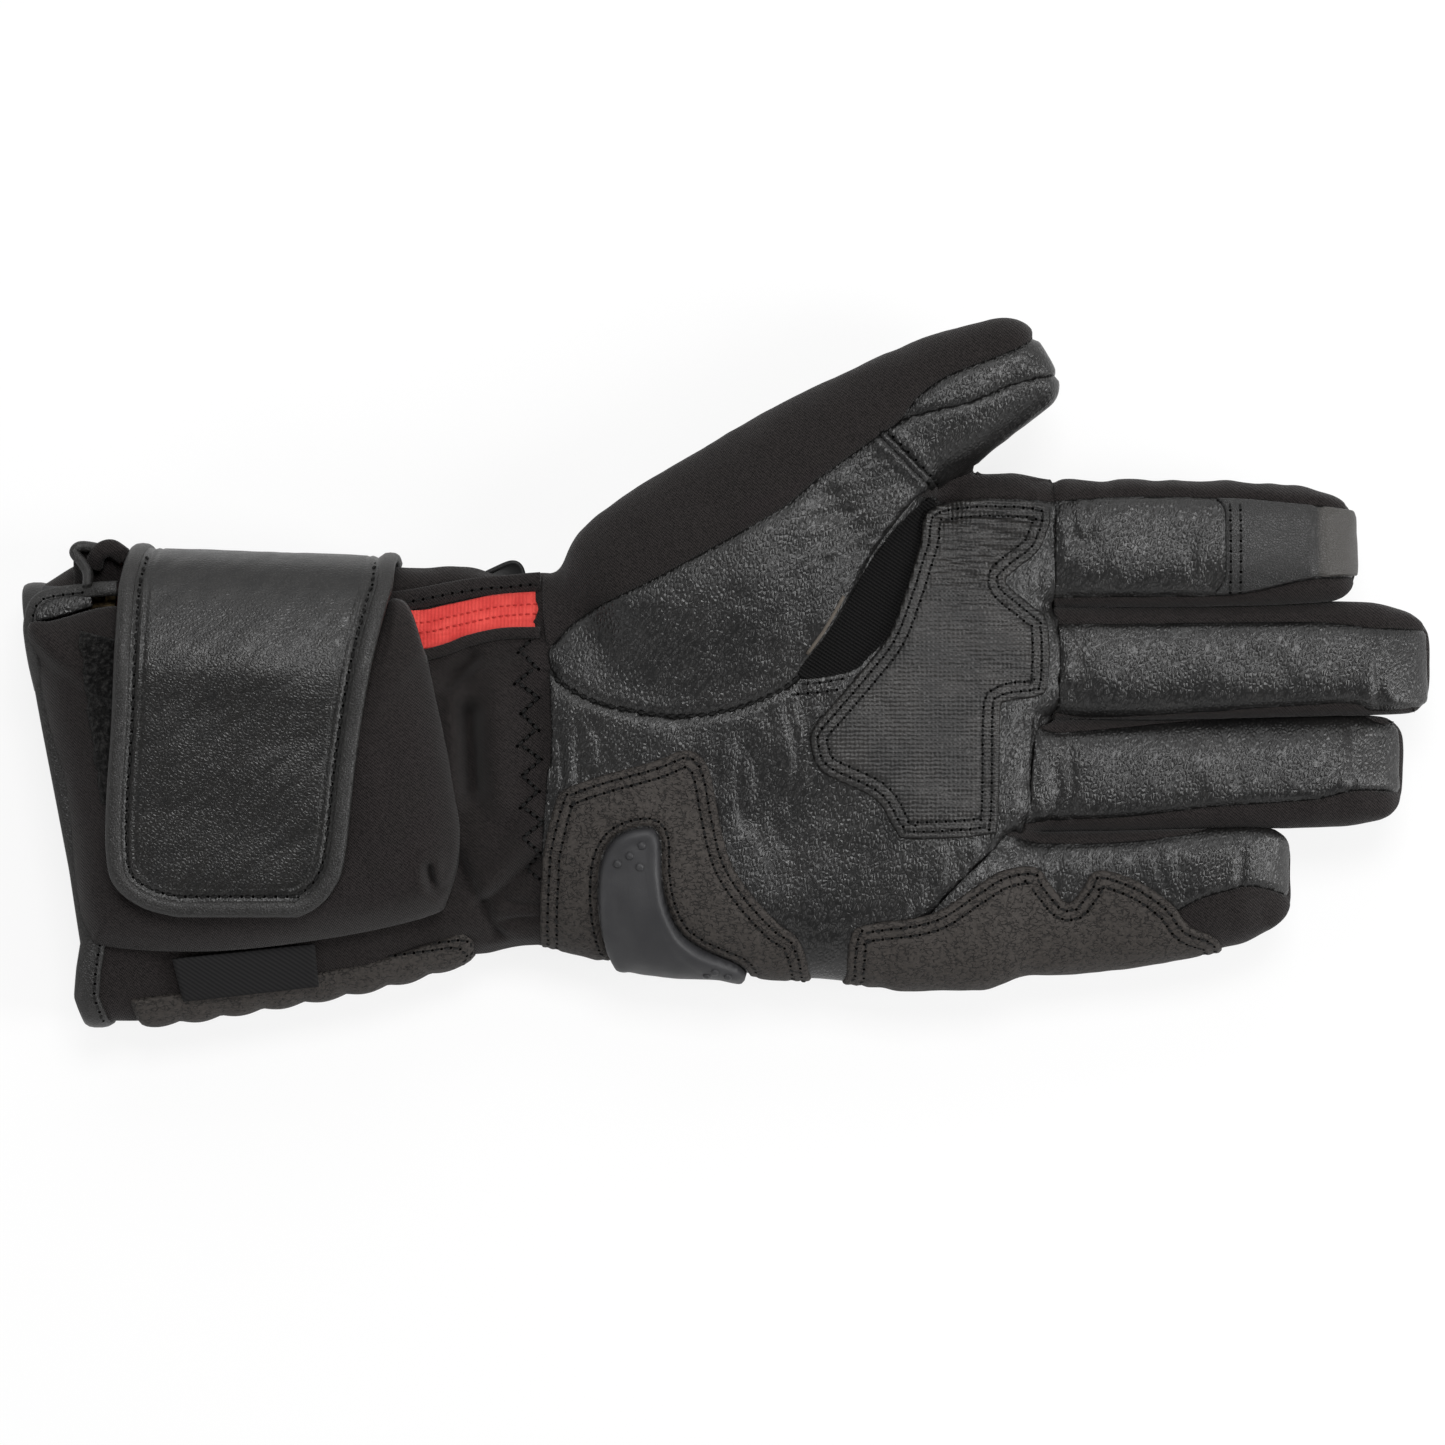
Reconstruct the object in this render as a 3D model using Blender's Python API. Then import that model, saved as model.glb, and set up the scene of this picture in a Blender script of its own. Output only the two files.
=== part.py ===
"""Insulated gauntlet glove for the left hand, lying on its back with the palm up.

+X runs along the fingers, +Y towards the thumb and +Z out of the palm. Sizes are in millimetres and
become metres where a mesh is made. Soft walls are skins between two offsets of a lofted form, so that
neighbouring layers nest with a gap. The palm side of a form lies at angles 0 to 180 degrees.
"""
import math
from collections import namedtuple

import bpy
from mathutils import Matrix, Vector

MM = 0.001
GAP = 0.3
SKIN = 1.5
LINER = 2.0
PATCH = 1.3
GUARD = 2.0
GUARD_RISE = 1.6
KNUCKLE_SWELL = -0.5
KNUCKLE_PITCH = 25.5

KNUCKLE_X = 71.0
KNUCKLE_STEP = 6.0
WRIST_HAND_X = -41.5
WRIST_CUFF_X = -60.0
WRIST_AXIS = (-51.0, -21.5, 17.0)
HINGE_LIFT = 2.0
FINGER_SEAM = 33.0
PALM_START = 12.0
PALM_STEP = 12.0

THUMB_TURN = 32.0
THUMB_TIP = (72.5, 72.0)
THUMB_LENGTH = 122.0
THUMB_HINGE = 86.0
THUMB_SEAM = 70.0

MOUTH_X = -153.2
MOUTH_SLANT = 0.145
POUCH_FLOOR = 33.0
POUCH_TOP = 48.6
TAPE = 0.8
FLAP_SHEET = 2.0
BINDING_RADIUS = 1.6
ZIP_START = (-149.0, 17.6, 32.2)
ZIP_END = (-67.0, 11.4, 34.0)
ZIP_TILT = 18.0
ZIP_PITCH = 3.2
PLEAT_HEIGHT = 0.8
PLEAT_PITCH = 10.4
FLAP_LEFT = -133.0
FLAP_LEFT_SLANT = 0.058
FLAP_RIGHT = -79.4
FLAP_RIGHT_SLANT = 0.165
FLAP_CORNER = 7.0
HINGE_SLANT = 0.0375

Section = namedtuple("Section", "x y z half_width half_height power")

HAND = [
    Section(-41.5, -19.4, 19.6, 42.3, 17.0, 2.5),
    Section(-28.0, -21.2, 20.9, 45.2, 18.5, 2.5),
    Section(-6.0, -19.3, 22.0, 50.3, 19.0, 2.5),
    Section(17.0, -15.4, 22.0, 54.4, 18.5, 2.6),
    Section(40.0, -13.5, 21.0, 56.5, 17.5, 2.7),
    Section(60.0, -12.6, 19.4, 55.9, 15.8, 3.0),
    Section(71.0, -11.6, 19.0, 54.7, 14.0, 3.4),
]
FINGERS = {
    "index": (143.0, [
        Section(71.5, 30.2, 19.2, 13.0, 12.4, 3.6),
        Section(95.0, 30.0, 20.4, 12.9, 11.6, 2.6),
        Section(120.0, 29.6, 23.0, 12.2, 10.8, 2.4),
        Section(143.0, 29.2, 25.0, 11.6, 9.6, 2.4),
    ]),
    "middle": (160.0, [
        Section(71.5, 4.3, 19.2, 11.9, 12.4, 3.6),
        Section(100.0, 4.3, 20.4, 11.8, 11.6, 2.6),
        Section(135.0, 4.2, 23.4, 12.1, 10.8, 2.4),
        Section(160.0, 3.0, 25.6, 11.6, 9.6, 2.4),
    ]),
    "ring": (153.9, [
        Section(71.5, -21.2, 19.2, 12.6, 12.4, 3.6),
        Section(98.0, -21.2, 20.4, 12.5, 11.6, 2.6),
        Section(130.0, -21.2, 23.2, 12.4, 10.8, 2.4),
        Section(153.9, -20.6, 25.4, 11.6, 9.6, 2.4),
    ]),
    "little": (128.3, [
        Section(65.5, -50.6, 19.2, 15.6, 12.4, 3.2),
        Section(85.0, -49.9, 20.0, 15.0, 11.6, 2.6),
        Section(107.0, -47.6, 22.4, 13.2, 10.8, 2.4),
        Section(128.3, -45.4, 24.2, 11.4, 9.4, 2.4),
    ]),
}
THUMB = [
    Section(0.0, -1.0, 25.0, 18.0, 12.5, 2.2),
    Section(14.0, -1.8, 26.5, 24.5, 15.5, 2.2),
    Section(40.0, -6.5, 28.0, 30.0, 16.6, 2.2),
    Section(66.0, 0.6, 29.0, 21.8, 15.0, 2.3),
    Section(85.0, 4.4, 30.0, 15.8, 13.4, 2.4),
    Section(100.0, 3.6, 31.0, 14.4, 12.4, 2.4),
    Section(122.0, 0.8, 32.5, 9.6, 9.6, 2.4),
]
CUFF = [
    Section(-153.2, -28.5, 15.9, 49.6, 16.6, 3.6),
    Section(-138.0, -25.0, 15.9, 51.9, 16.6, 3.2),
    Section(-110.0, -23.5, 15.9, 51.0, 16.6, 3.2),
    Section(-78.0, -21.5, 16.1, 47.5, 16.6, 3.0),
    Section(-60.0, -19.8, 17.2, 43.8, 15.2, 2.6),
]

GRIP_PATCH = [
    (47, 38), (69, 38), (69, 29), (62, 22), (69, 15), (69, 0), (69, -4.5), (62, -7), (61, -32), (57, -35.5),
    (41, -36), (36, -31), (22, -21.5), (19, -14), (24, -5), (34, 6), (42, 20),
]
HEEL_PATCH = [
    (-10, -16.5), (-4, -21), (-1, -38), (7, -52), (16, -60), (18, -75), (-28, -75), (-40, -60), (-41, -44),
    (-38, -28), (-30, -22),
]
HEEL_SLIDER = [
    (-22, -34), (-16, -35), (-14.5, -46), (-10, -57), (-1, -63), (4, -68), (3, -75), (-24, -75), (-28, -60),
    (-28, -44),
]
SLIDER_STEP = 2.2
SLIDER_STUDS = [(-19.5, -38.5), (-22.0, -41.5), (-24.2, -45.0), (-19.8, -43.8)]
STUD_RADIUS = 1.1
EDGE_PATCH = [
    (29, -57), (46, -53.5), (56, -47), (70, -43), (78, -51), (82, -47), (84, -44), (94, -47), (104, -55),
    (111, -64), (90, -80), (29, -80),
]
WEB_GUSSET = [
    (39, 41), (44.4, 38), (40, 21), (32, 7), (27.5, 1.5), (18.5, 2.4), (27, 14), (33, 24),
]
POUCH = [
    (-148, 9), (-110, 6.5), (-77, 4), (-69, -3), (-65, -14), (-62, -34), (-65, -51), (-72, -56.5),
    (-90, -59.5), (-116, -62), (-136, -61.5), (-141, -56), (-146, -24),
]
ZIP_TAPE = [(-146, 23.5), (-110, 21), (-72, 18), (-61, 20), (-61, 10), (-72, 6), (-110, 9.5), (-146, 11.5)]
SIDE_LABEL = [(-125, -64.6), (-93.2, -61.6), (-92.4, -70.4), (-123, -73.6)]
STRAP_TAB = [(-57.5, 23), (-55, 25), (-51, 27), (-48, 27), (-46, 25), (-46.5, 23)]
FLAP_PROFILE = [
    (31.2, 21.5), (31.1, 28.0), (30.0, 35.0), (27.0, 41.5), (22.5, 46.2), (16.0, 49.8), (9.0, 52.0),
    (2.0, 53.1), (-8.0, 53.4), (-30.0, 53.2), (-43.0, 53.0), (-50.5, 52.4),
]
TOUCH_PAD = [(115, 41), (136, 41), (139, 38), (139, 21), (136, 18.5), (115, 18.5)]


def clear_scene():
    for item in list(bpy.data.objects):
        bpy.data.objects.remove(item, do_unlink=True)


def material(name, colour, roughness, metallic=0.0):
    made = bpy.data.materials.new(name)
    made.use_nodes = True
    shader = made.node_tree.nodes["Principled BSDF"]
    shader.inputs["Base Color"].default_value = (*colour, 1.0)
    shader.inputs["Roughness"].default_value = roughness
    shader.inputs["Metallic"].default_value = metallic
    return made


def add(name, points, faces, finish, smooth=True):
    mesh = bpy.data.meshes.new(name)
    mesh.from_pydata([Vector(point) * MM for point in points], [], faces)
    mesh.update()
    for polygon in mesh.polygons:
        polygon.use_smooth = smooth
    made = bpy.data.objects.new(name, mesh)
    bpy.context.scene.collection.objects.link(made)
    if finish is not None:
        made.data.materials.append(finish)
    return made


def cutter(made):
    made.hide_render = True
    made.display_type = "WIRE"
    return made


def boolean(made, operation, other):
    step = made.modifiers.new(operation.title(), "BOOLEAN")
    step.operation = operation
    step.solver = "EXACT"
    step.object = other


def between(keys, x):
    """The section at x, on a smooth curve through the key sections."""
    last = len(keys) - 1
    at = max(index for index in range(last) if index == 0 or keys[index].x <= x)
    before, start, end, after = keys[max(at - 1, 0)], keys[at], keys[at + 1], keys[min(at + 2, last)]
    span = end.x - start.x
    t = (x - start.x) / span
    values = [x]
    for field in Section._fields[1:]:
        low, high = getattr(start, field), getattr(end, field)
        leave = (high - getattr(before, field)) / (end.x - before.x) * span
        arrive = (getattr(after, field) - low) / (after.x - start.x) * span
        values.append(
            (2 * t**3 - 3 * t**2 + 1) * low + (t**3 - 2 * t**2 + t) * leave
            + (3 * t**2 - 2 * t**3) * high + (t**3 - t**2) * arrive
        )
    return Section(*values)


def rounded_end(keys, stations, end, radius=9.0, power=2.6):
    """Sections that close towards a blunt fingertip at x = end."""
    made = []
    for x in stations:
        section = between(keys, min(x, end))
        reach = min((end - x) / radius, 1.0)
        scale = max((1 - (1 - reach) ** power) ** (1 / power), 0.08)
        made.append(section._replace(
            half_width=section.half_width * scale, half_height=section.half_height * scale))
    return made


def ring(section, angles, offset):
    points = []
    half_width = max(section.half_width + offset, 0.4 * section.half_width)
    half_height = max(section.half_height + offset, 0.4 * section.half_height)
    for angle in angles:
        cos, sin = math.cos(math.radians(angle)), math.sin(math.radians(angle))
        y = math.copysign(abs(cos) ** (2 / section.power), cos) * half_width
        z = math.copysign(abs(sin) ** (2 / section.power), sin) * half_height
        points.append((section.x, section.y + y, section.z + z))
    return points


def skin(name, sections, angles, outer, inner, finish, place=None, tip=None):
    """A closed wall between two offsets of a form. A full turn of angles makes a tube."""
    tube = angles[-1] - angles[0] >= 359.9
    used = angles[:-1] if tube else angles
    rows, columns = len(sections), len(used)
    points = []
    for offset in (outer, inner):
        for section in sections:
            if tip is not None:
                section = section._replace(x=min(section.x, tip + offset))
            points += [place(point, offset) if place else point for point in ring(section, used, offset)]
    inside = rows * columns
    faces = []
    spans = columns if tube else columns - 1
    for row in range(rows - 1):
        for column in range(spans):
            a, b = row * columns + column, row * columns + (column + 1) % columns
            c, d = b + columns, a + columns
            faces.append((d, c, b, a))
            faces.append((inside + a, inside + b, inside + c, inside + d))
    closed_tip = tube and tip is not None
    for row in (0, rows - 1):
        if row and closed_tip:
            faces.append([row * columns + column for column in range(columns)][::-1])
            faces.append([inside + row * columns + column for column in range(columns)])
            continue
        for column in range(spans):
            a, b = row * columns + column, row * columns + (column + 1) % columns
            rim = (a, b, inside + b, inside + a)
            faces.append(rim if row == 0 else rim[::-1])
    if not tube:
        for column in (0, columns - 1):
            for row in range(rows - 1):
                a, d = row * columns + column, (row + 1) * columns + column
                rim = (a, inside + a, inside + d, d)
                faces.append(rim if column == 0 else rim[::-1])
    return add(name, points, [face[::-1] for face in faces], finish)


def form(name, sections, angles, offset, place=None):
    """A closed solid of one form, used as a cutter."""
    used = angles[:-1]
    columns = len(used)
    points = []
    for section in sections:
        points += [place(point, offset) if place else point for point in ring(section, used, offset)]
    faces = []
    for row in range(len(sections) - 1):
        for column in range(columns):
            a, b = row * columns + column, row * columns + (column + 1) % columns
            faces.append((a, b, b + columns, a + columns))
    faces.append(list(range(columns))[::-1])
    last = (len(sections) - 1) * columns
    faces.append([last + column for column in range(columns)])
    return cutter(add(name, points, faces, None))


def smooth_loop(outline, steps=3):
    """A closed curve through the outline's points."""
    made = []
    count = len(outline)
    for index in range(count):
        p0, p1, p2, p3 = (Vector(outline[(index + shift) % count]) for shift in (-1, 0, 1, 2))
        for step in range(steps):
            t = step / steps
            made.append(0.5 * (
                2 * p1 + (p2 - p0) * t + (2 * p0 - 5 * p1 + 4 * p2 - p3) * t**2
                + (3 * p1 - p0 - 3 * p2 + p3) * t**3))
    return made


def grown(outline, distance):
    """An outline moved outwards, or inwards where distance is negative."""
    made = []
    count = len(outline)
    area = sum(outline[i - 1][0] * outline[i][1] - outline[i][0] * outline[i - 1][1] for i in range(count))
    turn = 1.0 if area > 0 else -1.0
    for index in range(count):
        along = (Vector(outline[(index + 1) % count]) - Vector(outline[index - 1])).normalized()
        made.append(Vector(outline[index]) + Vector((along.y, -along.x)) * distance * turn)
    return made


def prism(name, outline, low, high, finish=None, smooth=False):
    count = len(outline)
    area = sum(outline[i - 1][0] * outline[i][1] - outline[i][0] * outline[i - 1][1] for i in range(count))
    loop = list(outline) if area > 0 else list(outline)[::-1]
    points = [(p[0], p[1], low) for p in loop] + [(p[0], p[1], high) for p in loop]
    faces = [list(range(count))[::-1], list(range(count, 2 * count))]
    faces += [(i, (i + 1) % count, (i + 1) % count + count, i + count) for i in range(count)]
    made = add(name, points, faces, finish, smooth)
    return made if finish is not None else cutter(made)


def box(name, low, high, finish):
    return prism(name, [(low[0], low[1]), (high[0], low[1]), (high[0], high[1]), (low[0], high[1])],
                 low[2], high[2], finish)


def spread(start, end, count):
    return [start + (end - start) * index / count for index in range(count + 1)]


def body(name, position, pieces):
    """An empty on a joint's axis that carries the pieces of one moving body."""
    pivot = bpy.data.objects.new(name, None)
    pivot.location = Vector(position) * MM
    bpy.context.scene.collection.objects.link(pivot)
    for piece in pieces:
        piece.parent = pivot
        piece.matrix_parent_inverse = Matrix.Translation(-pivot.location)
    return pivot


clear_scene()
leather = material("grained_leather", (0.016, 0.014, 0.014), 0.42)
softshell = material("softshell", (0.012, 0.010, 0.011), 0.82)
fleece = material("fleece_liner", (0.020, 0.019, 0.020), 0.95)
grip = material("embossed_grip", (0.018, 0.016, 0.016), 0.5)
suede = material("abrasion_suede", (0.040, 0.033, 0.030), 0.85)
moulded = material("moulded_slider", (0.045, 0.045, 0.048), 0.5)
knit = material("stretch_knit", (0.010, 0.010, 0.010), 0.8)
red_tape = material("red_zip_tape", (0.62, 0.055, 0.045), 0.75)
coil = material("zip_coil", (0.45, 0.045, 0.04), 0.45)
hook_loop = material("hook_and_loop", (0.010, 0.010, 0.010), 0.95)
brass = material("zip_brass", (0.55, 0.40, 0.18), 0.32, 1.0)
woven = material("woven_label", (0.013, 0.013, 0.014), 0.7)
cell = material("battery_case", (0.020, 0.020, 0.022), 0.45)

# Hand: the front edge steps back at the little finger, and nothing goes below the floor.
palm_angles = spread(PALM_START, PALM_START + 180.0, int(180 / PALM_STEP))
back_angles = spread(PALM_START + 180.0, PALM_START + 360.0, int(180 / PALM_STEP))
hand_sections = [between(HAND, x) for x in spread(WRIST_HAND_X, KNUCKLE_X, 8)]


def on_hand(point, offset):
    x, y, z = point
    step = min(max((-31.0 - y) / 6.0, 0.0), 1.0)
    front = min(max((x - 30.0) / 40.0, 0.0), 1.0)
    return (x - KNUCKLE_STEP * step * front, y, max(z, 0.0))


def inset_ends(angles, by):
    return [angles[0] + by] + angles[1:-1] + [angles[-1] - by]


palm = skin("palm_leather", hand_sections, inset_ends(palm_angles, 0.4), 0.0, -SKIN, leather, on_hand)
back = skin("back_softshell", hand_sections, inset_ends(back_angles, 0.4), 0.0, -SKIN, softshell, on_hand)
hand_liner = skin("hand_liner", hand_sections, palm_angles + back_angles[1:], -SKIN - GAP,
                  -SKIN - GAP - LINER, fleece, on_hand)


# Thumb: a loft along its own axis, through a hole of its own shape in the hand.
def on_thumb(point, offset):
    turn = math.radians(THUMB_TURN)
    along, across, up = point
    along -= THUMB_LENGTH
    x = THUMB_TIP[0] + along * math.cos(turn) - across * math.sin(turn)
    y = THUMB_TIP[1] + along * math.sin(turn) + across * math.cos(turn)
    return (x, y, max(up, 0.0))


turn_angles = spread(THUMB_SEAM, 360.0 + THUMB_SEAM, 20)
thumb_liner_angles = spread(THUMB_SEAM, 360.0 + THUMB_SEAM, 12)
thumb_stations = [0.0, 12.0, 26.0, 40.0, 54.0, 70.0]
base_sections = [between(THUMB, x) for x in thumb_stations + [THUMB_HINGE - GAP]]
thumb_palm = inset_ends(spread(THUMB_SEAM, 210.0, 8), 0.6)
thumb_back = inset_ends(spread(210.0, 360.0 + THUMB_SEAM, 12), 0.6)
thumb_leather = skin("thumb_base_leather", base_sections, thumb_palm, 0.0, -SKIN, leather, on_thumb)
thumb_shell = skin("thumb_base_softshell", base_sections, thumb_back, 0.0, -SKIN, softshell, on_thumb)
thumb_liner = skin("thumb_base_liner", base_sections, thumb_liner_angles, -SKIN - GAP,
                   -SKIN - GAP - LINER, fleece, on_thumb)
thumb_room = form("thumb_room", [between(THUMB, -0.4)] + base_sections, turn_angles, 0.4, on_thumb)
for piece in (palm, back, hand_liner):
    boolean(piece, "DIFFERENCE", thumb_room)

tip_stations = [THUMB_HINGE + GAP, 99.0, 111.0, 116.0, 119.2, 121.1, 122.0]
thumb_tip_sections = rounded_end(THUMB, tip_stations, THUMB_LENGTH)
tip_palm = inset_ends(spread(THUMB_SEAM, 115.0, 3), 1.4)
tip_face = inset_ends(spread(115.0, 210.0, 5), 1.4)
tip_back = inset_ends(spread(210.0, 360.0 + THUMB_SEAM, 12), 1.4)
thumb_tip = [
    skin("thumb_tip_leather", thumb_tip_sections, tip_palm, 0.0, -SKIN, leather, on_thumb, THUMB_LENGTH),
    skin("thumb_tip_facing", thumb_tip_sections, tip_face, 0.0, -SKIN, leather, on_thumb, THUMB_LENGTH),
    skin("thumb_tip_softshell", thumb_tip_sections, tip_back, 0.0, -SKIN, softshell, on_thumb, THUMB_LENGTH),
    skin("thumb_tip_liner", thumb_tip_sections, thumb_liner_angles, -SKIN - GAP, -SKIN - GAP - LINER, fleece,
         on_thumb, THUMB_LENGTH),
]
hinge_section = between(THUMB, THUMB_HINGE)
thumb_pivot = on_thumb((THUMB_HINGE, hinge_section.y,
                        hinge_section.z + hinge_section.half_height + HINGE_LIFT), 0.0)
body("thumb_tip_joint", thumb_pivot, thumb_tip)


# Patches on the palm: an offset of the hand's form inside the patch's outline.
def patch(name, outline, low, high, finish, sections=hand_sections, angles=palm_angles, place=on_hand,
          steps=3):
    made = skin(name, sections, angles, high, low, finish, place)
    boolean(made, "INTERSECT", prism(name + "_outline", smooth_loop(outline, steps), 12.0, 70.0))
    return made


def palm_height(x, y, offset):
    section = between(HAND, x)
    reach = abs(y - section.y) / (section.half_width + offset)
    return section.z + (section.half_height + offset) * (1 - reach**section.power) ** (1 / section.power)


grip_patch = patch("grip_patch", GRIP_PATCH, GAP, GAP + PATCH, grip)
heel_patch = patch("heel_patch", HEEL_PATCH, GAP, GAP + PATCH, suede)
heel_slider = patch("heel_slider", HEEL_SLIDER, GAP, GAP + 2.4, moulded)
crown = cutter(patch("slider_crown", grown(HEEL_SLIDER, -SLIDER_STEP), GAP + 0.8, GAP + 3.4, None))
boolean(heel_slider, "UNION", crown)
for index, (x, y) in enumerate(SLIDER_STUDS):
    points, faces = [], []
    for row, angle in enumerate((0.0, 45.0, 90.0, 135.0, 180.0)):
        turn = math.radians(angle)
        for column in range(8 if row in (1, 2, 3) else 1):
            spin = math.radians(column * 45.0)
            points.append((
                x + STUD_RADIUS * math.sin(turn) * math.cos(spin),
                y + STUD_RADIUS * math.sin(turn) * math.sin(spin),
                palm_height(x, y, GAP + 3.2) - STUD_RADIUS * math.cos(turn)))
    for column in range(8):
        after = (column + 1) % 8
        faces.append((0, 1 + after, 1 + column))
        faces.append((1 + column, 1 + after, 9 + after, 9 + column))
        faces.append((9 + column, 9 + after, 17 + after, 17 + column))
        faces.append((17 + column, 17 + after, 25))
    boolean(heel_slider, "UNION", cutter(add("slider_stud_%d" % index, points, faces, None)))
edge_patch = patch("edge_patch", EDGE_PATCH, GAP, GAP + PATCH, suede)
web_gusset = patch("thumb_web_gusset", WEB_GUSSET, GAP, GAP + 1.0, knit)
for piece in (grip_patch, web_gusset):
    boolean(piece, "DIFFERENCE", thumb_room)
slider_window = prism("slider_window", grown(smooth_loop(HEEL_SLIDER), 0.5), 5.0, 70.0)
boolean(heel_patch, "DIFFERENCE", slider_window)

# Knuckle guard: a pad under the back with a swell at each knuckle, flat where it stands on the floor.
guard_sections = []
for x in spread(36.0, 66.0, 6):
    rise = math.sin(math.pi * (x - 36.0) / 30.0)
    section = between(HAND, x)
    guard_sections.append(section._replace(
        half_width=section.half_width + GUARD_RISE * rise,
        half_height=section.half_height + GUARD_RISE * rise))


def on_floor(point, offset):
    x, y, z = on_hand(point, offset)
    if offset > GAP:
        z += KNUCKLE_SWELL * math.cos(2 * math.pi * (y - 4.3) / KNUCKLE_PITCH)
    return (x, y, max(z, 0.0))


knuckle_guard = skin("knuckle_guard", guard_sections, spread(222.0, 324.0, 16), GAP + GUARD, GAP, moulded,
                     on_floor)

# Fingers: leather towards the palm, softshell behind, a liner that is closed at the tip.
for finger, (tip, keys) in FINGERS.items():
    base = keys[0].x
    stations = spread(base, tip - 11.0, 3) + [tip - 6.0, tip - 2.8, tip - 0.9, tip]
    sections = rounded_end(keys, stations, tip)
    seam = FINGER_SEAM
    leather_angles = inset_ends(spread(seam, 180.0 - seam, 6), 1.4)
    shell_angles = inset_ends(spread(180.0 - seam, 360.0 + seam, 10), 1.4)
    liner_angles = spread(18.0, 378.0, 10)
    pieces = [
        skin(finger + "_leather", sections, leather_angles, 0.0, -SKIN, leather, None, tip),
        skin(finger + "_softshell", sections, shell_angles, 0.0, -SKIN, softshell, None, tip),
        skin(finger + "_liner", sections, liner_angles, -SKIN - GAP, -SKIN - GAP - LINER, fleece, None, tip),
    ]
    if finger == "index":
        pieces.append(patch("index_touch_pad", TOUCH_PAD, GAP, GAP + 0.8, leather, sections,
                            spread(seam, 180.0 - seam, 6), None))
    if finger == "little":
        front = [between(keys, x) for x in spread(base + 3.5, base + 50.0, 5)]
        pieces.append(patch("little_edge_patch", EDGE_PATCH, GAP, GAP + PATCH, suede, front,
                            spread(90.0, 200.0, 8), None))
    top = keys[0].z + keys[0].half_height + HINGE_LIFT
    body(finger + "_joint", (base, keys[0].y, top), pieces)


# Cuff: the mouth slants, and the back is cut flat where it lies on the floor.
def on_cuff(point, offset):
    x, y, z = point
    near_mouth = min(max((WRIST_CUFF_X - x) / (WRIST_CUFF_X - MOUTH_X), 0.0), 1.0)
    return (x - MOUTH_SLANT * (y + 24.5) * near_mouth, y, max(z, -offset if offset <= 0.0 else z))


cuff_start = MOUTH_X + 7.0
cuff_sections = [between(CUFF, x) for x in spread(cuff_start, WRIST_CUFF_X, 5)]
cuff_palm = spread(12.0, 192.0, 15)
cuff_back = spread(192.0, 372.0, 15)
cuff_round = cuff_palm + cuff_back[1:]
palm_panel = skin("cuff_palm_panel", cuff_sections, inset_ends(cuff_palm, 0.4), 0.0, -SKIN, softshell,
                  on_cuff)
back_panel = skin("cuff_back_panel", cuff_sections, inset_ends(cuff_back, 0.4), 0.0, -SKIN, softshell,
                  on_cuff)
cuff_liner = skin("cuff_liner", cuff_sections, spread(12.0, 372.0, 20), -SKIN - GAP, -SKIN - GAP - LINER,
                  fleece, on_cuff)
binding_sections = [between(CUFF, x) for x in spread(MOUTH_X, cuff_start - 0.4, 2)]
mouth_binding = skin("mouth_binding", binding_sections, cuff_round, 0.0, -SKIN - GAP - LINER, leather,
                     on_cuff)

band_keys = [
    Section(WRIST_CUFF_X + 0.4, -19.8, 17.6, 43.2, 14.5, 2.6),
    Section(WRIST_AXIS[0], -19.8, 18.2, 42.0, 14.8, 2.5),
    Section(WRIST_HAND_X - 0.4, -19.4, 19.5, 41.8, 16.4, 2.5),
]
band_sections = [between(band_keys, x) for x in spread(band_keys[0].x, band_keys[2].x, 3)]
wrist_band = skin("wrist_band", band_sections, cuff_round, 0.0, -SKIN, softshell)

# Strap over the back of the wrist, and the moulded tab at its thumb-side end.
strap_sections = [between(band_keys, x) for x in spread(WRIST_CUFF_X + 0.4, WRIST_AXIS[0] + 1.0, 2)]
strap_angles = [angle for angle in cuff_back if 200.0 < angle < 335.0]
wrist_strap = skin("wrist_strap", strap_sections, strap_angles, GAP + 1.6, GAP, woven)
strap_tab = prism("strap_tab", smooth_loop(STRAP_TAB), 11.5, 14.0, moulded)

# Edge guard: pleated suede along the little-finger side of the cuff.
guard_stations = spread(-139.0, -60.5, 28)
pleated = []
for x in guard_stations:
    section = between(CUFF, x)
    swell = PLEAT_HEIGHT * math.sin(math.pi * (x - guard_stations[0]) / PLEAT_PITCH) ** 2
    pleated.append(section._replace(
        half_width=section.half_width + swell, half_height=section.half_height + swell))
edge_guard = skin("cuff_edge_guard", pleated, spread(168.0, 204.0, 3), GAP + PATCH, GAP, suede, on_cuff)
side_label = patch("side_label", SIDE_LABEL, 2.9, 3.5, woven, cuff_sections, cuff_palm, on_cuff, 1)

# Battery pouch: a padded pocket that is open towards the thumb, with the pack inside.
levels = [(POUCH_FLOOR, 1.6), (35.0, 0.0), (40.0, 0.6), (44.6, 2.4), (47.4, 5.0), (POUCH_TOP, 8.5)]
pouch_loop = smooth_loop(POUCH)
count = len(pouch_loop)
area = sum(pouch_loop[i - 1][0] * pouch_loop[i][1] - pouch_loop[i][0] * pouch_loop[i - 1][1]
           for i in range(count))
if area < 0:
    pouch_loop.reverse()
points = []
for z, inset in levels:
    points += [(p[0], p[1], z) for p in grown(pouch_loop, -inset)]
faces = [list(range(count))[::-1], [count * (len(levels) - 1) + i for i in range(count)]]
for level in range(len(levels) - 1):
    for i in range(count):
        a, b = level * count + i, level * count + (i + 1) % count
        faces.append((a, b, b + count, a + count))
pouch = add("battery_pouch", points, faces, softshell)
pocket_room = prism("pocket_room", [(-134.6, -46.6), (-77.4, -46.6), (-77.4, 20.0), (-134.6, 20.0)],
                    POUCH_FLOOR + 1.4, POUCH_TOP - 1.4)
boolean(pouch, "DIFFERENCE", pocket_room)
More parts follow.
